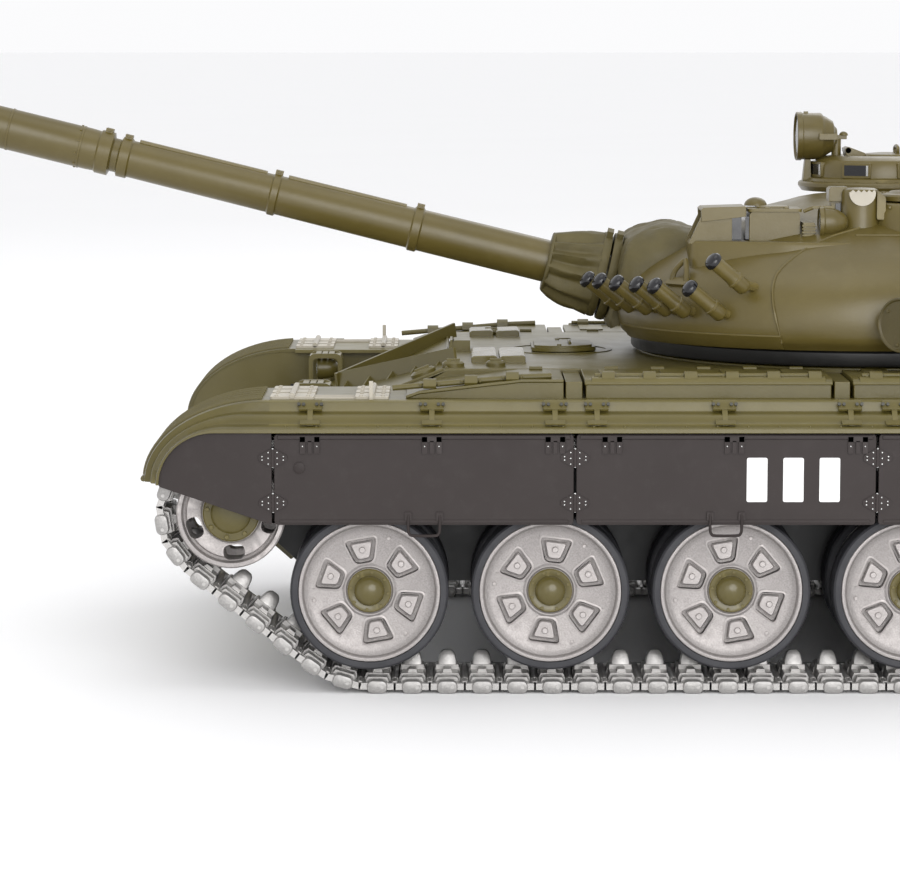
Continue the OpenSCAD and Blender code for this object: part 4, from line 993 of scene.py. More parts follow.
def skirts():
    """Skirt panels with their hangers, hinges, steps and bars, one set of pieces a side."""
    panel, fixed, steel, mark = Shape(), Shape(), Shape(), Shape()
    y0, y1 = 109.6, 110.7
    flap = [(PANEL_X[0] + 0.35, SKIRT_LOW), (190, 53.2), (216.8, 62.4)]
    flap += [guard_point(0, 78.6, math.radians(t))[::2] for t in range(90, -1, -6)]
    flap.append((PANEL_X[0] + 0.35, 78.6))
    panel.add_both(prism(flap, y0, y1))
    for k in range(4):
        high = PANEL_X[k] - 0.4
        low = high - PANEL_LONG + 0.8
        panel.add_both(prism(rounded(rect(low, SKIRT_LOW, high, SKIRT_TOP), 1.2), y0, y1))
        # raised rail along the top and a folded lip along the bottom
        panel.add_both(prism([(y1 - 0.2, 76.2), (y1 + 0.4, 76.5), (y1 + 0.4, 77.6), (y1 - 0.2, 77.8)],
                             low + 1, high - 1, "x"))
        panel.add_both(prism([(y1 - 0.2, 51.6), (y1 + 0.25, 51.8), (y1 + 0.25, 52.6), (y1 - 0.2, 52.9)],
                             low + 1.5, high - 1.5, "x"))
        if k < 3:
            x = high - 44.1 + 0.4
            loop = [(x - 4.6, y1 + 0.5, 54), (x - 4.6, y1 + 0.55, 50), (x - 4.2, y1 + 0.55, 48.6),
                    (x - 3, y1 + 0.55, 48.1), (x + 3, y1 + 0.55, 48.1), (x + 4.2, y1 + 0.55, 48.6),
                    (x + 4.6, y1 + 0.55, 50), (x + 4.6, y1 + 0.5, 54)]
            fixed.add_both(tube(smooth_path(loop, 3), 0.45, 8))
            for dx in (-4.6, 4.6):
                fixed.add_both(box((x + dx - 1, y1 - 0.1, 52.6), (x + dx + 1, y1 + 0.6, 55)))
                fixed.add_both(bolt(0.4, 0.3), move(x + dx, y1 + 0.55, 54.2) @ AXLE)
        for dx in (10.8, 46.4, 82.4) if k < 3 else (10.8, 44):
            x = PANEL_X[k] - dx
            for left, right, low_z, high_z in ((-2.9, -1.3, 72.2, 77.2), (1.3, 2.9, 72.2, 77.2),
                                               (-2.9, 2.9, 75.6, 77.2), (-0.6, 0.6, 72.2, 76)):
                fixed.add_both(box((x + left, y1 - 0.1, low_z), (x + right, y1 + 0.45, high_z)))
            for bx in (-2.1, 2.1):
                steel.add_both(bolt(0.2, 0.2, 8), move(x + bx, y1 + 0.4, 74.4) @ AXLE)
    # bolted diamond hinges at the seams
    for x in PANEL_X:
        for z in (70.9, 57.7):
            for s in (-1, 1):
                leaf = rounded([(x + 0.35 * s, z - 2.9), (x + 0.35 * s, z + 2.9), (x + 4.2 * s, z + 0.7),
                                (x + 4.2 * s, z - 0.7)], 0.5, 2)
                fixed.add_both(prism(leaf, y1 - 0.1, y1 + 0.35))
                for bx, bz in ((1.3, 1.7), (1.3, 0), (1.3, -1.7), (3.1, 0.5), (3.1, -0.5)):
                    steel.add_both(bolt(0.22, 0.25, 8), move(x + bx * s, y1 + 0.3, z + bz) @ AXLE)
            fixed.add_both(rod((x, y1 + 0.25, z - 2.6), (x, y1 + 0.25, z + 2.6), 0.55, 10))
            for dz in (-2.7, 2.7):
                steel.add_both(dome(0.42, 0.4, 12), move(x, y1 + 0.25, z + dz))
    fixed.add_both(lathe([(0, 0), (1.7, 0), (1.7, 0.4), (1.3, 0.55), (0, 0.55)], 20),
                   move(176, y1 - 0.05, 68) @ AXLE)
    # three plain recognition bars
    for k in range(3):
        x = 42.4 - 10.6 * k
        mark.add_both(prism(rounded(rect(x - 3, 58, x + 3, 71), 0.6), y1 - 0.05, y1 + 0.14))
    for side, sign in SIDES.items():
        for name, shape, look, bevel in (("skirt_panels", panel, "skirt", 0.2),
                                         ("skirt_fittings", fixed, "skirt", 0.08),
                                         ("skirt_pins", steel, "steel", 0),
                                         ("skirt_marks", mark, "white", 0)):
            piece(f"{name}_{side}", one_side(shape, sign), "hull", look, bevel=bevel,
                  replaces=[f"side_skirt_{side}"] if name == "skirt_panels" else ())


def one_side(shape, sign):
    """The faces of a shape that are on one side of the vehicle, with the points they use."""
    faces = [face for face in shape.faces if shape.points[face[0]].y * sign > 0]
    order = sorted({i for face in faces for i in face})
    place = {old: new for new, old in enumerate(order)}
    half = Shape()
    half.points = [shape.points[i] for i in order]
    half.faces = [[place[i] for i in face] for face in faces]
    return half


LAMP_X = 174
DRIVER_X = 97  # middle of the driver's hatch


def front_fittings():
    """Headlamps in their guards and the driver's hatch."""
    guard, lamp, glass = Shape(), Shape(), Shape()
    base = glacis_z(LAMP_X)
    outside = rounded([(-5.6, 1), (-5.6, 10.4), (5.6, 10.4), (5.6, -3)], 2.6, 5)
    inside = rounded([(4.2, -3), (4.2, 8.8), (-4.2, 8.8), (-4.2, 1)], 1.8, 5)
    # each foot of a guard keeps only the inner half of its rounding
    band = outside[3:-3] + inside[3:-3]
    for sign in (-1, 1):
        at = move(LAMP_X, 50 * sign, base)
        for y in (-6, 5):
            guard.add(prism(band, y, y + 1), at)
        for x, z in ((-4.2, 9.3), (-2, 9.8), (0.2, 9.8), (2.4, 9.8), (4.4, 9.1)):
            guard.add(box((x - 0.9, -5.4, z - 0.4), (x + 0.9, 5.4, z + 0.5)), at)
        lamp.add(lathe([(0, -3), (1.8, -3), (3, -1.6), (3.5, 0.4), (3.6, 3.6), (3.3, 4), (3, 3.4),
                        (0, 3.2)], 28),
                 at @ move(-1, 0, 4.9) @ turn(90, "Y"))
        lamp.add(box((-1.6, -1, -1.4), (0.8, 1, 2)), at)
        glass.add(lathe([(0, 0), (3, 0), (2.6, 0.5), (1.4, 0.9), (0, 1)], 28),
                  at @ move(2.3, 0, 4.9) @ turn(90, "Y"))
    piece("headlamp_guards", guard, "hull", "olive", replaces=["headlights"])
    piece("headlamps", lamp, "hull", "olive", bevel=0.1)
    piece("headlamp_lenses", glass, "hull", "glass")
    hatch = Shape()
    outline = [(DRIVER_X + 14 * math.cos(a),
                14 * math.sin(a)) for a in (math.radians(6 * k) for k in range(60))]
    outline = [(min(max(x, 85.2), 105.8), y) for x, y in outline]
    hatch.add(prism(outline, 93.2, 94.4, "z"))
    hatch.add(prism([(DRIVER_X + (x - DRIVER_X) * 0.9, y * 0.9) for x, y in outline], 94.3, 95, "z"))
    hatch.add(lathe([(0, 93.2), (3, 93.2), (3, 94.8), (2.4, 95.2), (0, 95.2)], 20), move(95, -15.5, 0))
    hatch.add(tube(smooth_path([(93, -4, 94.6), (93.4, -4, 95.4), (93.6, 0, 95.6), (93.4, 4, 95.4),
                                (93, 4, 94.6)], 4), 0.4))
    for k in range(6):
        p = on_circle(10.5, 30 + 60 * k, 94.9)
        if abs(p.x) < 8:
            hatch.add(bolt(0.7, 0.5), move(DRIVER_X + p.x, p.y, 94.9))
    piece("driver_hatch_lid", hatch, "driver_lid", "olive", bevel=0.3, replaces=["driver_hatch"])


LOG_X, LOG_Z, LOG_R = -206, 54, 5.5


def rear_fittings():
    """Fuel drums with their straps and the unditching log."""
    drum, strap = Shape(), Shape()
    for y in (-31, 31):
        at = move(-221, y, 80) @ AXLE
        drum.add(lathe([(0, -25.4), (14, -25.4), (14.4, -26.4), (16.6, -27), (17.6, -26.6), (18, -25.6),
                        (18, -9.6), (18.5, -8.8), (18.5, -8), (18, -7.2), (18, 7.2), (18.5, 8), (18.5, 8.8),
                        (18, 9.6), (18, 25.6), (17.6, 26.6), (16.6, 27), (14.4, 26.4), (14, 25.4),
                        (0, 25.4)], 64), at)
        for end in (move(7, 0, 25.3), move(7, 0, -25.3) @ turn(180, "X")):
            drum.add(lathe([(0, 0), (2.6, 0), (2.6, 0.9), (2, 1.3), (0, 1.3)], 20), at @ end)
        for b in (-17, 17):
            strap.add(lathe([(18, b - 1.5), (18.7, b - 1.5), (18.9, b), (18.7, b + 1.5), (18, b + 1.5)], 64),
                      at)
            strap.add(box((18.2, b - 1.2, -2), (19, b + 1.2, 2)), at @ turn(60, "Z"))
            strap.add(prism([(TAIL_X + 0.4, 66), (TAIL_X + 0.4, 76), (-206, 72), (-212, 65.2), (-216, 62.4),
                             (-212, 61.6), (-204, 64)], y + b - 0.8, y + b + 0.8))
    piece("fuel_drums", drum, "hull", "olive", replaces=["rear_drums"])
    piece("drum_straps", strap, "hull", "skirt", bevel=0.15)
    log = Shape()
    rings = []
    for k in range(29):
        y = -70 + 5 * k
        ring = []
        for a in (2 * math.pi * j / 28 for j in range(28)):
            r = LOG_R + 0.3 * math.sin(3 * a + k)
            ring.append((LOG_X + (r + 0.15 * math.sin(7 * a - 0.4 * k)) * math.cos(a), y,
                         LOG_Z + r * math.sin(a)))
        rings.append(ring)
    log.add(loft(rings))
    piece("unditching_log", log, "hull", "wood")
    ties = Shape()
    for y in (-44, 44):
        ties.add(lathe(rect(5.7, -1.4, 6.3, 1.4), 36), move(LOG_X, y, LOG_Z) @ AXLE)
        ties.add(box((-200.6, y - 1.4, 50), (TAIL_X + 0.4, y + 1.4, 58)))
    piece("log_ties", ties, "hull", "gunmetal", bevel=0.1)


def belly():
    """Looks of the CAD nodes under the hull, with the belly's ribs and plugs, the towing hooks and the
    nose plate."""
    for node, look in (("hull_tub", "black"), ("battery_pack", "film"), ("drive_units", "black"),
                       ("control_board", "board"), ("speaker", "black"), ("power_switch", "steel"),
                       ("battery_door", "black")):
        dress(node, look)
    tub = Shape()
    for x in (-160, -132, 70, 96, 122, 148):
        tub.add(box((x - 1.4, -56, 26), (x + 1.4, 56, 27.2)))
    for x, y in ((-145, 34), (-145, -34), (84, 34), (84, -34), (110, 0), (135, 30), (135, -30)):
        tub.add(lathe([(0, 0), (5, 0), (5, 0.9), (4.2, 1.3), (0, 1.3)], 28),
                move(x, y, 27.1) @ turn(180, "X"))
        for k in range(5):
            p = on_circle(3.4, 72 * k)
            tub.add(bolt(0.6, 0.6), move(x + p.x, y + p.y, 25.9) @ turn(180, "X"))
    for sign in (-1, 1):
        for x in range(-186, 190, 12):
            tub.add(bolt(0.9, 0.8), move(x, 61.9 * sign, 74.5) @ turn(-90 * sign, "X"))
    # speaker slots in the belly
    for k in range(-3, 4):
        tub.add(prism(rounded(rect(-88, 4.4 * k - 0.6, -64, 4.4 * k + 0.6), 0.6), 26.75, 27.3, "z"))
    # shock absorbers and bump stops beside the wheels
    for x in (WHEEL_X[0], WHEEL_X[1], WHEEL_X[5]):
        tub.add_both(rod((x + 4, 62, 66), (x + 4, 65.4, 66), 3.4, 16))
        tub.add_both(rod((x + 4, 64.6, 66), (x - 1, 64.6, 44), 1.5, 12))
    for x in WHEEL_X:
        tub.add_both(lathe([(0, 0), (6, 0), (6, 0.7), (5, 0.9), (0, 0.9)], 28),
                     move(x + 14.5, 61.9, 36.2) @ AXLE)
    piece("belly_details", tub, "hull", "black", bevel=0.12)
    hooks = Shape()
    for y in (-40, 40):
        hooks.add(prism(rounded([(203, 50.6), (209.2, 50.6), (209.2, 60), (206.6, 60), (206.6, 54.6),
                                 (203, 54.6)], 1.2, 3),
                        y - 1.8, y + 1.8))
        hooks.add(prism(rounded([(-197, 42), (-192, 42), (-192, 49), (-194.4, 49), (-194.4, 46),
                                 (-197, 46)], 1, 3),
                        y - 1.8, y + 1.8))
    hooks.add(prism([(172, 27.4), (207.4, 58.9), (207.9, 58.3), (172.6, 26.6)], -58, 58))
    for k in range(7):
        hooks.add(prism([(180, 33.4), (202, 53), (203.4, 52), (181.2, 32.4)], -54 + 18 * k - 0.7,
                        -54 + 18 * k + 0.7))
    hooks.add(prism([(207, 59), (208.2, 59), (210, 62.6), (207, 66)], -60, 60))
    piece("nose_plate", hooks, "hull", "olive", bevel=0.3)


hull_deck()
fenders()
skirts()
front_fittings()
rear_fittings()
belly()

# ------------------------------------------------------------------ turret

# height, share of the widest radius, and shift along x
LEVELS = [(98.8, 0.955, 0), (101.4, 0.99, 0), (108, 1, 0), (116, 0.972, 0), (122, 0.91, -1), (128, 0.795, -2),
          (133.5, 0.645, -4), (139, 0.45, -6), (142.4, 0.32, -8), (143.6, 0.2, -8)]


def shell_r(degrees):
    """Radius of the cast shell at its widest level, bulging at the two front cheeks."""
    return 77.5 + 5 * math.exp(-((abs(degrees) - 32) / 32) ** 2)


def shell_at(degrees, z, out=0.0):
    """A point of the shell's outside, from its angle and height."""
    levels = [Vector(level) for level in LEVELS]
    i = max(k for k in range(len(levels) - 1) if levels[k].x <= max(z, levels[0].x))
    a, b = levels[max(i - 1, 0)], levels[i]
    c, d = levels[i + 1], levels[min(i + 2, len(levels) - 1)]
    t = (z - b.x) / (c.x - b.x)
    share, shift = (0.5 * (2 * b[k] + (c[k] - a[k]) * t + (2 * a[k] - 5 * b[k] + 4 * c[k] - d[k]) * t ** 2
                           + (3 * b[k] - a[k] - 3 * c[k] + d[k]) * t ** 3) for k in (1, 2))
    signed = degrees - 360 if degrees > 180 else degrees
    return on_circle(shell_r(signed) * share + out, degrees, z) + Vector((shift, 0, 0))


def on_shell(degrees, z, out=0.0):
    """A place on the shell with +Z straight out of it and +Y up it."""
    here = shell_at(degrees, z)
    round_it = shell_at(degrees + 1, z) - shell_at(degrees - 1, z)
    up_it = shell_at(degrees, z + 0.5) - shell_at(degrees, z - 0.5)
    normal = round_it.cross(up_it).normalized()
    across = round_it.normalized()
    up = normal.cross(across)
    at = Matrix((across, up, normal)).transposed().to_4x4()
    return Matrix.Translation(here + normal * out) @ at


def cast_surface(degrees, z):
    """The shell's small unevenness, as cast."""
    a = math.radians(degrees)
    return 0.16 * math.sin(5 * a + z * 0.11) + 0.1 * math.sin(11 * a - z * 0.23)


TRUNNION_X, TRUNNION_Z = 62, 111.8


def turret_shell():
    """Cast shell with the gun's opening, its ring, the shoulders beside the gun, seams and hooks."""
    steps = 144
    heights = [98.8, 99.6, 100.6, 101.6, 103, 105, 107, 109, 111, 113, 115, 117, 119, 121, 123, 125, 127, 129,
               131, 133, 135, 137, 139, 140.6, 141.8, 142.7, 143.3, 143.6]
    rings = [[shell_at(a, z, cast_surface(a, z)) for a in (360 * k / steps for k in range(steps))]
             for z in heights]
    shell = Shape().add(loft(rings))
    cut = Shape().add(box((56, -20, 98), (112, 20, 150)))
    cut.add(rod((TRUNNION_X, -20, TRUNNION_Z), (TRUNNION_X, 20, TRUNNION_Z), 22.5, 64))
    shell_mesh = mesh_of("turret_shell_mesh", shell, carve=cut)
    piece("turret_cast_shell", shell_mesh, "turret", "turret", bevel=0.3, sharp=42, replaces=["turret_shell"])
    black = Shape()
    black.add(lathe([(40, 94.0), (73, 94.0), (73.4, 94.6), (73.4, 98), (72.6, 98.9), (40, 98.9)], 120))
    piece("turret_ring", black, "turret", "black")
    shoulders = Shape()
    for sign in (-1, 1):
        rings = []
        for y, r in ((19.2, 18), (19.3, 21.9), (20.4, 21.8), (22.4, 21.2), (24.6, 19.8), (26.8, 17.4),
                     (28.6, 13.6)):
            arc = [on_circle(min(r, drum_front(a)) + 0.3 * math.sin(a * 0.21 + y), a)
                   for a in range(-8, 176, 4)]
            rings.append([(TRUNNION_X + point.x, y * sign, TRUNNION_Z + point.y) for point in arc]
                         + [(30, y * sign, 104), (66, y * sign, 104)])
        shoulders.add(loft(rings))
    piece("mantlet_shoulders", shoulders, "turret", "canvas", sharp=60)
    seams = Shape()
    left_seam = [shell_at(*p, 0.1) for p in ((66, 101), (65, 108), (64, 113), (63, 118), (62.5, 122),
                                             (64, 126), (66, 129), (70, 132), (78, 134.5))]
    seams.add(tube(smooth_path(left_seam, 5), 0.4, 8))
    seams.add(tube(smooth_path([mirrored(p) for p in left_seam], 5), 0.4, 8))
    seams.add(tube(smooth_path([shell_at(a, 132.5, 0.1) for a in range(78, 283, 12)], 3), 0.5, 8))
    # rim plates round the front cheeks
    rim = ((99.0, 0.1), (99.0, 0.9), (99.6, 1.1), (103.0, 0.8), (103.4, 0.5), (103.4, -0.2))
    for first, last in ((18, 66), (-66, -18)):
        rings = []
        for k in range(15):
            a = first + (last - first) * k / 14
            rings.append([shell_at(a, z, out) for z, out in rim])
        seams.add(loft(rings))
    # lifting hooks
    for a, z in ((38, 120), (-38, 120), (128, 126), (-128, 126)):
        hook = smooth_path([(-3.2, -3, -0.4), (-2.6, 0, 1.6), (-0.8, 3, 2.6), (0, 3.8, 2.7), (0.8, 3, 2.6),
                            (2.6, 0, 1.6), (3.2, -3, -0.4)], 4)
        seams.add(tube(hook, 0.85, 8), on_shell(a, z))
        seams.add(prism(rounded(rect(-4.4, -4.4, 4.4, -1.6), 0.6), -0.3, 0.6, "z"), on_shell(a, z))
    piece("turret_seams", seams, "turret", "turret", bevel=0.1)


GUNNER_HATCH = move(-16, 34, 0)


def gunner_station():
    """Sights, lamps and hatch seat on the left half of the turret's roof."""
    body, dark, pale, glass = Shape(), Shape(), Shape(), Shape()
    # pedestal shelf under the sights
    shelf = rounded([(5, 33), (58, 29), (58, 47), (30, 56), (8, 57), (5, 52)], 3)
    body.add(loft([[(x, y, 122) for x, y in shelf], [(x, y, 129.6) for x, y in shelf],
                   [(32 + (x - 32) * 0.97, 43 + (y - 43) * 0.95, 130.6) for x, y in shelf]]))
    # rear sight box with its lid plate and knob
    body.add(prism([(24, 130), (39.6, 130), (39.6, 138.6), (38.8, 139.6), (24.8, 139.6), (24, 138.6)], 30.4,
                   46))
    body.add(prism(rounded(rect(23.4, 30, 40, 46.4), 1.4), 139.4, 140.4, "z"))
    body.add(prism(rounded(rect(27, 33, 37, 43), 1.4), 140.3, 141, "z"))
    body.add(dome(3.6, 2.6), move(36.6, 32.4, 140.8))
    for x in (28, 34):
        body.add(dome(0.9, 0.6, 12), move(x, 44, 140.3))
    # front hood, open to the front, with its flap
    for y in (30.2, 45):
        body.add(prism([(45, 129.6), (58.4, 129.6), (54.2, 138.6), (53.4, 139.4), (45, 139.4)], y, y + 1.4))
        body.add(prism([(40.8, 138), (54.4, 136.4), (54.6, 140.2), (53.8, 140.8), (40.8, 141.2)], y + 0.6,
                       y + 1.9))
    body.add(prism([(40.6, 138.6), (52.2, 138.6), (51.6, 139.5), (40.6, 139.9)], 30.2, 46.4))
    body.add(prism([(40.8, 140.4), (54.4, 139.6), (54.6, 140.2), (53.8, 140.8), (40.8, 141.2)], 31.4, 46))
    dark.add(box((42, 31.4, 130.4), (49, 45.2, 138)))
    dark.add(prism(rect(39.7, 131, 40.8, 138), 31, 45.6))
    glass.add(prism(rect(49.1, 131, 49.6, 137.6), 32.4, 44.2))
    # louvred block
    body.add(box((19.6, 38, 129.8), (23.2, 48, 136.2)))
    for k in range(5):
        body.add(prism(rect(19.2, 131 + k, 23.6, 131.5 + k), 47.6, 48.5))
    # horn-shaped lamp facing forward
    at = move(18.4, 46, 136.2) @ turn(-90, "Y")
    body.add(lathe([(5, 0.2), (5, 1.4), (4.6, 1.9), (4.5, 4), (3.9, 6), (2.8, 7.9), (1.3, 9), (0, 9.2),
                    (0, 7), (3.6, 3), (4.3, 0.2)], 40), at)
    glass.add(lathe([(0, 0.4), (4.3, 0.7), (4.3, 1.1), (0, 1.1)], 40), at)
    body.add(prism([(11.5, 129.8), (16.5, 129.8), (15.2, 132.4), (12.8, 132.4)], 44.6, 47.4))
    body.add(box((13.6, 45.2, 140.4), (20.4, 46.8, 141.3)))
    body.add(rod((20, 46, 140.8), (23, 46, 139.6), 0.6, 8))
    # small box with its vertical slot
    body.add(prism([(8.4, 142.4), (14.6, 142.4), (14.6, 146.2), (13.9, 146.9), (9, 146.9), (8.4, 146.2)], 33,
                   41))
    body.add(prism(rect(9.2, 129.8, 13.8, 142.6), 35, 39.6))
    dark.add(box((10.6, 39.3, 133), (12.4, 40, 141.8)))
    # night sight: a drum on a flared base, with a pale half-round shield on its outer side, its pale colour a
    # painted highlight
    at = move(4.9, 41, 0)
    body.add(lathe([(0, 128), (8.4, 128), (7.6, 130.6), (6.4, 131.8), (5.9, 133.4), (5.8, 145.2),
                    (5.2, 146.2), (4.2, 146.6), (0, 146.8)], 48), at)
    body.add(prism(rounded([(-7.4, 137), (-4.6, 137), (-4.6, 146), (-7.4, 144)], 0.7), -1, 4.6), at)
    rim = [(4.1 * math.cos(math.radians(a)), 145.4 + 4.1 * math.sin(math.radians(a)))
           for a in range(180, 361, 12)]
    teeth = [(4.1 - 0.82 * k - 0.41, 146.2 if k % 2 else 145.5) for k in range(10)]
    pale.add(prism(rim + teeth, 4.3, 6.0), at)
    # hatch seat, with its hinge lugs
    at = GUNNER_HATCH
    body.add(lathe([(0, 128), (18.6, 128), (18.2, 139), (17.2, 141.4), (16.6, 141.9), (15.4, 142.1),
                    (0, 142.1)], 64), at)
    for k in range(12):
        p = on_circle(17.6, 30 * k + 15)
        body.add(bolt(0.65, 0.7), at @ move(p.x, p.y, 140.5))
    for y in (26.4, 40.6):
        body.add(prism([(-35, 136), (-29.5, 136), (-30, 143.2), (-31.6, 144.8), (-33.2, 144), (-34, 141)],
                       y - 1, y + 1))
    # two periscopes ahead of the hatch
    for y in (26, 36):
        at = move(3.6, y - 4, 0)
        body.add(prism([(-4, 138), (1.4, 138), (1.4, 143.4), (-1, 145.2), (-4, 145.2)], -3.4, 3.4), at)
        dark.add(box((1.3, -2.6, 141.4), (1.8, 2.6, 143.4)), at)
    piece("roof_sights", body, "turret", "turret", bevel=0.18)
    piece("sight_windows", dark, "turret", "gloss_black")
    # the shield's pale colour is a painted highlight
    piece("sight_shield", pale, "turret", "wear_and_highlight")
    piece("sight_glass", glass, "turret", "glass")
    lid = Shape()
    at = GUNNER_HATCH
    lid.add(lathe([(0, 142.6), (15, 142.6), (15, 144), (14.4, 144.6), (11.4, 144.8), (10.6, 145.4),
                   (0, 145.8)], 64), at)
    lid.add(tube(smooth_path([(-3, 5, 144.8), (-3, 5, 147), (0, 5.2, 147.4), (3, 5, 147), (3, 5, 144.8)], 4),
                 0.6), at)
    lid.add(rod((-31, 28, 143.5), (-31, 40, 143.5), 1, 16))
    for y in (30.4, 37.6):
        lid.add(prism([(-31, 142.7), (-24, 143.2), (-22, 145.6), (-25, 145.9), (-31.6, 144.6)], y - 1.3,
                      y + 1.3))
    for k in range(6):
        p = on_circle(12.8, 60 * k)
        lid.add(bolt(0.7, 0.5), at @ move(p.x, p.y, 144.6))
    piece("gunner_lid", lid, "gunner_lid", "turret", bevel=0.2, replaces=["gunner_hatch"])


def smoke_tubes():
    """Smoke dischargers, seven on the left and five on the right."""
    body, caps = Shape(), Shape()
    left = ((58.6, 117.6, 22), (53.4, 109.2, 20), (44.8, 109.4, 20), (40, 109.5, 18), (33.9, 109.4, 16),
            (27.6, 109.5, 14), (21.5, 109.4, 12))
    right = ((60.5, 109, 22), (54.5, 109, 20), (48, 109, 18), (41, 109, 16), (34.5, 109, 14))
    for sign, tubes in ((1, left), (-1, right)):
        for a, z, out in tubes:
            foot = on_circle(shell_r(a) + 2.4, a, z)
            at = Matrix.Translation(foot) @ turn(out, "Z") @ turn(52, "Y")
            if sign < 0:
                at = MIRROR @ at
            body.add(lathe([(0, -0.6), (1.6, -0.6), (2.3, 0), (2.5, 0.6), (2.5, 3.8), (2.75, 4.0),
                            (2.75, 4.6), (2.5, 4.8), (2.3, 6), (2.25, 13.2), (0, 13.2)], 24), at)
            caps.add(lathe([(2.2, 12.8), (2.75, 12.9), (2.85, 13.6), (2.7, 14.3), (2.2, 14.9), (1.3, 15.3),
                            (0, 15.4), (0, 13)], 28), at)
            base = shell_at(a, z, -0.5)
            if sign < 0:
                base = mirrored(base)
            body.add(rod(base, at @ Vector((0, 0, 2.4)), 1.5, 12))
    piece("smoke_tubes", body, "turret", "turret", replaces=["smoke_dischargers"])
    piece("smoke_caps", caps, "turret", "gloss_black")


def stowage():
    """Four boxes round the turret's rear, with their latches and straps, and the drum on its left side."""
    bins, fittings, straps = Shape(), Shape(), Shape()
    for a in (118, 150, 182, 214):
        at = turn(a, "Z")
        outline = rounded(rect(-18.8, 101.2, 18.8, 119.4), 1.8)
        bins.add(prism(outline, 80.3, 95.2, "x"), at)
        lid = rounded(rect(79.9, -19, 96, 19), 1.6)
        bins.add(loft([[(x, y, 118) for x, y in lid], [(x, y, 120.2) for x, y in lid],
                       [(88 + (x - 88) * 0.9, y * 0.95, 121) for x, y in lid]]), at)
        for y in (-9.5, 0, 9.5):
            bins.add(prism(rounded(rect(y - 3.6, 104, y + 3.6, 115), 1), 95, 95.7, "x"), at)
        for y in (-14, 14):
            fittings.add(box((95, y - 1, 114.6), (96, y + 1, 119.6)), at)
            fittings.add(rod((96, y - 1.4, 115.4), (96, y + 1.4, 115.4), 0.5, 8), at)
            fittings.add(bolt(0.6, 0.4), at @ move(95.6, y, 112.6) @ turn(90, "Y"))
        for low, high in ((-6.2, -4.4), (4.4, 6.2)):
            straps.add(prism([(79.6, 100.8), (95.6, 100.8), (96, 101.2), (96, 121), (95.4, 121.4),
                              (79.6, 121.4), (79.6, 120.9), (95.2, 120.9), (95.5, 120.6), (95.5, 101.4),
                              (79.6, 101.4)],
                             low, high), at)
        bins.add(box((70, -16, 103), (80.6, 16, 106)), at)
    # short drum in front of the boxes, its lid turned half forwards
    drum_at = move(-1.2, 90, 108) @ turn(45, "Z") @ turn(-90, "Y")
    drum, bands = Shape(), Shape()
    drum.add(lathe([(0, 0.5), (7.2, 0.5), (7.5, 0), (8, 0), (8.2, 0.4), (8.2, 1.6), (7.9, 2), (7.9, 7.2),
                    (7.4, 8), (0, 8)], 56),
             drum_at)
    for k in range(3):
        drum.add(bolt(0.55, 0.7), drum_at @ turn(120 * k - 50, "Z") @ move(6.1, 0, 0.7) @ turn(180, "X"))
    drum.add(rod((-8.4, 79.5, 108), (-4.4, 84, 108), 3.4, 16))
    bands.add(lathe([(7.8, 4), (8.25, 4.2), (8.25, 5.8), (7.8, 6)], 56), drum_at)
    piece("stowage_bins", bins, "turret", "turret", bevel=0.3, replaces=["turret_stowage"])
    piece("stowage_latches", fittings, "turret", "gunmetal")
    piece("stowage_straps", straps, "turret", "skirt", bevel=0.1)
    # the drum's darker olive is painted shade
    piece("side_drum", drum, "turret", "shaded", bevel=0.1)
    piece("side_drum_band", bands, "turret", "skirt")


def side_lamp():
    """Searchlight on its bracket beside the gun."""
    body, glass = Shape(), Shape()
    at = move(88, -34, 117) @ turn(90, "Y")
    body.add(lathe([(0, -4), (4, -4), (5.4, -2.6), (7, -0.6), (7.2, 0.4), (7.2, 9), (7.4, 9.4), (7.4, 10.8),
                    (6.8, 11), (6.6, 9.8), (0, 9.6)], 48), at)
    for z in (1.6, 4, 6.4):
        body.add(lathe([(7.1, z), (7.4, z + 0.2), (7.4, z + 0.9), (7.1, z + 1.1)], 48), at)
    body.add(prism([(74, 105), (91, 105), (91, 107.6), (90, 108.6), (74, 108.6)], -36.4, -31.6))
    body.add(prism([(84.6, 108.4), (91.4, 108.4), (90, 112.4), (86, 112.4)], -36, -32))
    for y in (-42.2, -26.6):
        body.add(prism([(86, 107), (90, 107), (89.4, 118.4), (86.6, 118.4)], y, y + 0.9))
        body.add(bolt(1.2, 0.6), move(88, y, 116.6) @ sideways(y > -34))
    body.add(box((86, -42.2, 106.8), (90, -25.8, 108)))
    glass.add(lathe([(0, 9.7), (6.7, 9.9), (6.7, 10.3), (4, 10.9), (0, 11)], 48), at)
    piece("side_searchlight", body, "turret", "turret", bevel=0.12, replaces=["gun_searchlight"])
    piece("side_searchlight_glass", glass, "turret", "glass")


# ------------------------------------------------------------------ gun

GUN_ANGLE = 13.8
ALONG_BARREL = move(TRUNNION_X, 0, TRUNNION_Z) @ turn(90 - GUN_ANGLE, "Y")


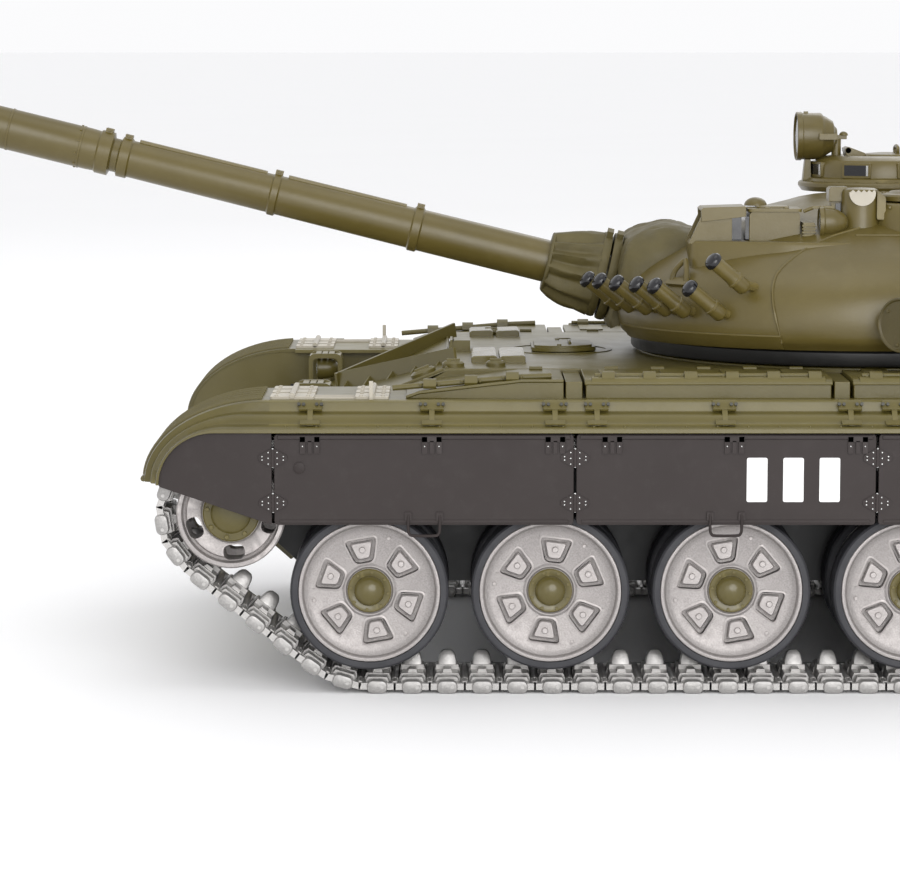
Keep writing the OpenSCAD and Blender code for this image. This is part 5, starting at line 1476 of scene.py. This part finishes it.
def barrel():
    """Gun tube with its sleeves, fume extractor, bore and clamps."""
    # each section's start, radius there, end and radius there
    sections = ((19.5, 6.9, 82, 6.7), (82, 7.3, 85, 7.3), (85, 6.6, 129, 6.3), (129, 6.9, 131.5, 6.9),
                (131.5, 6.25, 178, 5.95), (178, 6.5, 181.5, 6.5), (181.5, 5.4, 184, 5.4), (184, 7, 188.5, 7),
                (188.5, 6.5, 192, 6.65), (192, 6.65, 243, 6.65), (243, 6.9, 246, 6.9), (246, 5.9, 284, 5.7),
                (284, 6.3, 286.5, 6.3), (286.5, 5.6, 314, 5.4), (314, 5.4, 320, 5.4))
    outside = [(0, 19.5)]
    for start, r0, end, r1 in sections:
        soft = 0.25 if end - start > 2 else 0
        outside += [(r0, start + soft), (r1, end - soft)]
    bore = [(4.4, 320), (3.5, 319.6), (3.1, 318.8), (3.1, 281), (0, 281)]
    body = Shape().add(lathe(outside + bore, 56), ALONG_BARREL)
    # cover strip on top of the thermal sleeve, clamp bolts and sleeve screws
    for start, end, r in ((88, 127, 6.55), (134, 176, 6.2), (248, 282, 5.9), (289, 312, 5.6)):
        strip = [(r - 0.4, -1.5), (r + 0.45, -1.3), (r + 0.6, 0), (r + 0.45, 1.3), (r - 0.4, 1.5)]
        body.add(prism([(-x, y) for x, y in strip], start, end, "z"), ALONG_BARREL)
    for z, r in ((83.5, 7.3), (130.2, 6.9), (179.7, 6.5), (186.2, 7), (244.5, 6.9), (285.2, 6.3)):
        for s in (-1, 1):
            body.add(box((-r - 1, s * 1.4 - 0.7, z - 1.2), (-r + 0.6, s * 1.4 + 0.7, z + 1.2)), ALONG_BARREL)
        body.add(rod((-r - 0.5, -2.6, z), (-r - 0.5, 2.6, z), 0.5, 8), ALONG_BARREL)
    for k in range(10):
        for z in (195, 240):
            body.add(bolt(0.4, 0.35), ALONG_BARREL @ turn(36 * k, "Z") @ move(6.6, 0, z) @ turn(90, "Y"))
    for z in (193.6, 241.4, 217):
        body.add(lathe([(6.5, z), (6.85, z + 0.15), (6.85, z + 0.75), (6.5, z + 0.9)], 48), ALONG_BARREL)
    piece("gun_tube", body, "gun", "turret", bevel=0.1, replaces=["gun_barrel"])


def drum_front(degrees):
    """Distance from the trunnions to the flat front of the gun's drum."""
    off = abs(degrees - GUN_ANGLE)
    return 17.6 / math.cos(math.radians(off)) if off < 60 else 99


def mantlet():
    """Canvas cover over the gun's drum, its clamping rings and the pleated boot."""
    rows, cols = 60, 28
    rings = []
    for i in range(rows + 1):
        a = -30 + 172 * i / rows
        ring = []
        for j in range(cols + 1):
            across = -1 + 2 * j / cols
            y = 19 * math.copysign(abs(across) ** 0.8, across)
            edge = max(0, (abs(y) - 14) / 5)
            r = min(21.9, drum_front(a)) - 1.6 * edge ** 2
            r += 0.35 * math.sin(a * 0.16 + 2.3 * across) * (1 - edge) + 0.12 * math.sin(a * 0.4 - 5 * across)
            r += 0.25 * math.sin(9 * across + a * 0.05)
            bead = (0.7 * math.exp(-((abs(y) - 16.4) / 0.5) ** 2)
                    + 0.5 * math.exp(-((abs(y) - 14.2) / 0.4) ** 2))
            p = on_circle(r + bead, a)
            ring.append((TRUNNION_X + p.x, y, TRUNNION_Z + p.y))
        rings.append(ring + [(TRUNNION_X, 19, TRUNNION_Z), (TRUNNION_X, -19, TRUNNION_Z)])
    cover = Shape().add(loft(rings))
    piece("mantlet_cover", cover, "gun", "canvas", sharp=50, replaces=["gun_mantlet"])
    boot = Shape()
    steps = 144
    rings = []
    for i in range(33):
        t = i / 32
        z = 23.8 + 15.8 * t
        mean = 13.3 - 4.3 * t
        ring = []
        for j in range(steps):
            a = 2 * math.pi * j / steps
            # sharp pleats run along the boot and open out towards the drum
            wave = 6.5 * a + 0.5 * math.sin(3 * a) + 0.35 * math.sin(2.4 * t)
            pleat = 1 - 2 * abs(2 / math.pi * math.asin(0.985 * math.sin(wave)))
            fold = (0.45 + 0.8 * math.sin(math.pi * (0.12 + 0.8 * (1 - t)))) * pleat
            crease = 0.14 * math.sin(17 * a + 5 * t) * math.sin(math.pi * t)
            sag = (0.7 * max(0, math.cos(a)) ** 1.5 * math.sin(math.pi * min(1, 1.25 - t))
                   * min(1, 6 * (1 - t) * t + 0.3))
            r = mean + fold + crease + sag
            ring.append((r * math.cos(a), r * math.sin(a), z))
        rings.append(ring)
    boot.add(loft(rings), ALONG_BARREL)
    piece("mantlet_boot", boot, "gun", "canvas", sharp=60)
    clamps = Shape()
    for z, r, wide in ((17.9, 14.3, 2.7), (21.3, 13.9, 2.6), (38.8, 9.6, 1.2)):
        clamps.add(lathe([(r - 3, z), (r - 0.3, z), (r, z + 0.3 * wide), (r, z + 0.7 * wide),
                          (r - 0.3, z + wide), (r - 3, z + wide)], 72), ALONG_BARREL)
    for z in (19.2, 22.5):
        clamps.add(box((-15.8, -1.6, z - 1), (-13.6, 1.6, z + 1)), ALONG_BARREL @ turn(-20, "Z"))
    piece("mantlet_clamps", clamps, "gun", "canvas")


# ------------------------------------------------------------------ cupola

CUPOLA = move(-10, -34, 144.2)
LAMP_R = 8.0
GUN_PIN = (-24.5, 0, 15)  # the roof gun's pin, from the cupola


def cupola():
    """Commander's cupola with its windows, hatch and lamp, and the machine gun's posts."""
    body, dark, pale = Shape(), Shape(), Shape()
    body.add(lathe([(0, -1.4), (25.2, -1.4), (26.4, 0.2), (26.4, 1.2), (25.8, 1.7), (23.8, 1.8), (23.2, 2.8),
                    (21.8, 3.2), (21.6, 7.0), (20.6, 8.8), (18.4, 9.8), (16, 10.2), (14.4, 10.2), (13.2, 9.6),
                    (13.2, 3), (0, 3)], 96), CUPOLA)
    ring_of(body, bolt(0.45, 0.5, 8), 24, 24.6, 1.6, 7, CUPOLA)
    for a in (64, -64, 14, -14, 112, -112, 150, -150):
        at = CUPOLA @ turn(a, "Z")
        body.add(prism(rounded(rect(-4.9, 3.2, 4.9, 8.2), 0.6, 2), 19.8, 21.9, "x"), at)
        dark.add(box((21.3, -4.1, 4.0), (22.0, 4.1, 7.4)), at)
        # a bright steel strip down one side of each window: a painted glint of light on its glass
        pale.add(box((21.5, 3.4, 4.0), (22.1, 4.1, 7.4)), at)
    # lamp post with its fork, cross bar and knob
    body.add(prism([(22.3, 1), (25.2, 1), (24.4, 8.8), (22.6, 8.8)], -2.2, 2.2), CUPOLA)
    body.add(rod((14, 0, 9.4), (14, 0, 15.6), 1.6, 16), CUPOLA)
    body.add(box((10.6, -1, 15.4), (16.6, 1, 16.8)), CUPOLA)
    body.add(dome(1.5, 1.4), CUPOLA @ move(11.6, 0, 16.6))
    # machine-gun posts and their ring
    for y in (-5.2, 4):
        body.add(prism([(-28, 0.8), (-20, 0.8), (-21, 8), (-22.6, 15.6), (-23.6, 16.8), (-25.4, 16.8),
                        (-26.4, 15.6), (-27.2, 8)], y, y + 1.2), CUPOLA)
        body.add(bolt(1.5, 0.8), CUPOLA @ move(-24.5, y + (1.2 if y > 0 else 0), 15) @ sideways(y > 0))
    body.add(rod((-24.5, -4.6, 15), (-24.5, 4.6, 15), 1, 16), CUPOLA)
    for k in range(7):
        y = -18 + 6 * k
        body.add(rod((-19.4 - 0.01 * k, y * 0.5, 2.2), (-19.6, y * 0.5, 4.4), 0.5, 8), CUPOLA)
    piece("cupola_body", body, "cupola", "turret", bevel=0.15, replaces=["commander_cupola"])
    piece("cupola_windows", dark, "cupola", "gloss_black")
    # the bright strips beside the windows are painted glints
    piece("cupola_window_glints", pale, "cupola", "steel")
    lid = Shape()
    at = CUPOLA @ move(-3, 0, 8)
    lid.add(lathe([(0, 0), (12.4, 0), (12.4, 1), (11.9, 1.7), (9.8, 2), (9.2, 2.6), (3, 3.1), (0, 3.2)], 64),
            at)
    lid.add(prism([(8, 1.9), (14, 1.9), (14.6, 4.4), (13.4, 5), (8, 3)], -5, 5), at)
    lid.add(rod((13.5, -5, 3.8), (13.5, 5, 3.8), 1, 16), at)
    lid.add(tube(smooth_path([(-3, -4, 2.8), (-3, -4, 4.6), (-3, 0, 5.2), (-3, 4, 4.6), (-3, 4, 2.8)], 4),
                 0.6), at)
    ring_of(lid, bolt(0.6, 0.5), 8, 10.8, 1.8, at=at)
    piece("commander_lid", lid, "commander_lid", "turret", bevel=0.2, replaces=["commander_hatch"])
    lamp, glass = Shape(), Shape()
    at = CUPOLA @ move(18.5, 0, 16.4) @ turn(90, "Y")
    r = LAMP_R
    lamp.add(lathe([(0, -4.6), (2.6, -4.6), (3.4, -3.8), (5.0, -3.2), (r - 1.6, -1), (r - 1.2, 0),
                    (r - 0.6, 0.4), (r - 0.3, 1), (r - 0.3, 7), (r, 7.2), (r, 8.8), (r - 0.4, 9),
                    (r - 0.7, 8), (0, 7.6)], 56), at)
    lamp.add(box((-r - 0.2, -0.9, 5), (-r + 1, 0.9, 6.4)), at)
    for y in (-1, 1):
        lamp.add(box((-1, min(y * (r - 1.6), y * (r + 0.3)), -4), (1, max(y * (r - 1.6), y * (r + 0.3)), 2)),
                 at)
    glass.add(lathe([(0, 7.8), (r - 0.6, 7.9), (r - 0.6, 8.3), (0, 8.9)], 56), at)
    piece("cupola_lamp", lamp, "cupola", "turret", bevel=0.1, replaces=["cupola_light"])
    piece("cupola_lamp_glass", glass, "cupola", "gloss_black")


def roof_gun():
    """Anti-aircraft machine gun, pointing rearward at rest."""
    body, ammo = Shape(), Shape()
    at = CUPOLA @ move(*GUN_PIN)
    body.add(prism(rounded([(-26, -1.8), (3.4, -1.8), (3.4, 1.6), (1, 4), (-14, 4), (-18, 3.2), (-26, 3.2)],
                           0.8), -2.3, 2.3), at)
    body.add(prism([(-13, 3.8), (-2, 3.8), (-3, 4.6), (-12, 4.6)], -1.8, 1.8), at)
    for x in (-22, -18, -9, -4):
        for y in (-2.3, 2.3):
            body.add(bolt(0.5, 0.4), at @ move(x, y, 1.4) @ sideways(y > 0))
    bore = at @ move(-26, 0, 2) @ turn(-90, "Y")
    profile = [(0, -1), (2, -1), (2, 0.6), (1.5, 1), (1.5, 9), (1.9, 9.2), (1.9, 10.6), (1.3, 11),
               (1.2, 33.4), (1.6, 33.8), (1.7, 34.6), (1.4, 35), (2.2, 40), (1.6, 39.9), (0.8, 34), (0, 34)]
    body.add(lathe(profile, 24), bore)
    for k in range(8):
        body.add(lathe([(1.1, 12 + 1.6 * k), (1.55, 12.1 + 1.6 * k), (1.55, 12.7 + 1.6 * k),
                        (1.1, 12.8 + 1.6 * k)], 20), bore)
    for y in (-1, 1):
        body.add(tube(smooth_path([(1.5, 1.4 * y, 2.4), (3.2, 1.9 * y, 4.4), (3.6, 2 * y, 6),
                                   (3.4, 2 * y, 7.4)], 4), 0.6), at)
    body.add(box((-25, -0.4, 3), (-24, 0.4, 6)), at)
    body.add(box((0, -0.9, 3.8), (1.4, 0.9, 6.2)), at)
    body.add(rod((-12, -2.2, 1), (-12, -5, 1), 0.5, 8), at)
    body.add(prism(rect(-15, 1, -10.6, 3), 2.2, 3.6), at)
    ammo.add(prism(rounded(rect(-20, -1, -6, 8), 0.6), 3.5, 9.8), at)
    ammo.add(prism(rounded(rect(-20.3, 7, -5.7, 8.2), 0.4), 3.3, 10), at)
    for x in (-17, -13, -9):
        ammo.add(prism(rect(x - 0.8, -0.4, x + 0.8, 6.4), 9.7, 10.1), at)
    piece("machine_gun", body, "roof_gun", "gunmetal", bevel=0.12, replaces=["antiair_gun"])
    piece("machine_gun_box", ammo, "roof_gun", "turret", bevel=0.12)


turret_shell()
gunner_station()
smoke_tubes()
stowage()
side_lamp()
barrel()
mantlet()
cupola()
roof_gun()
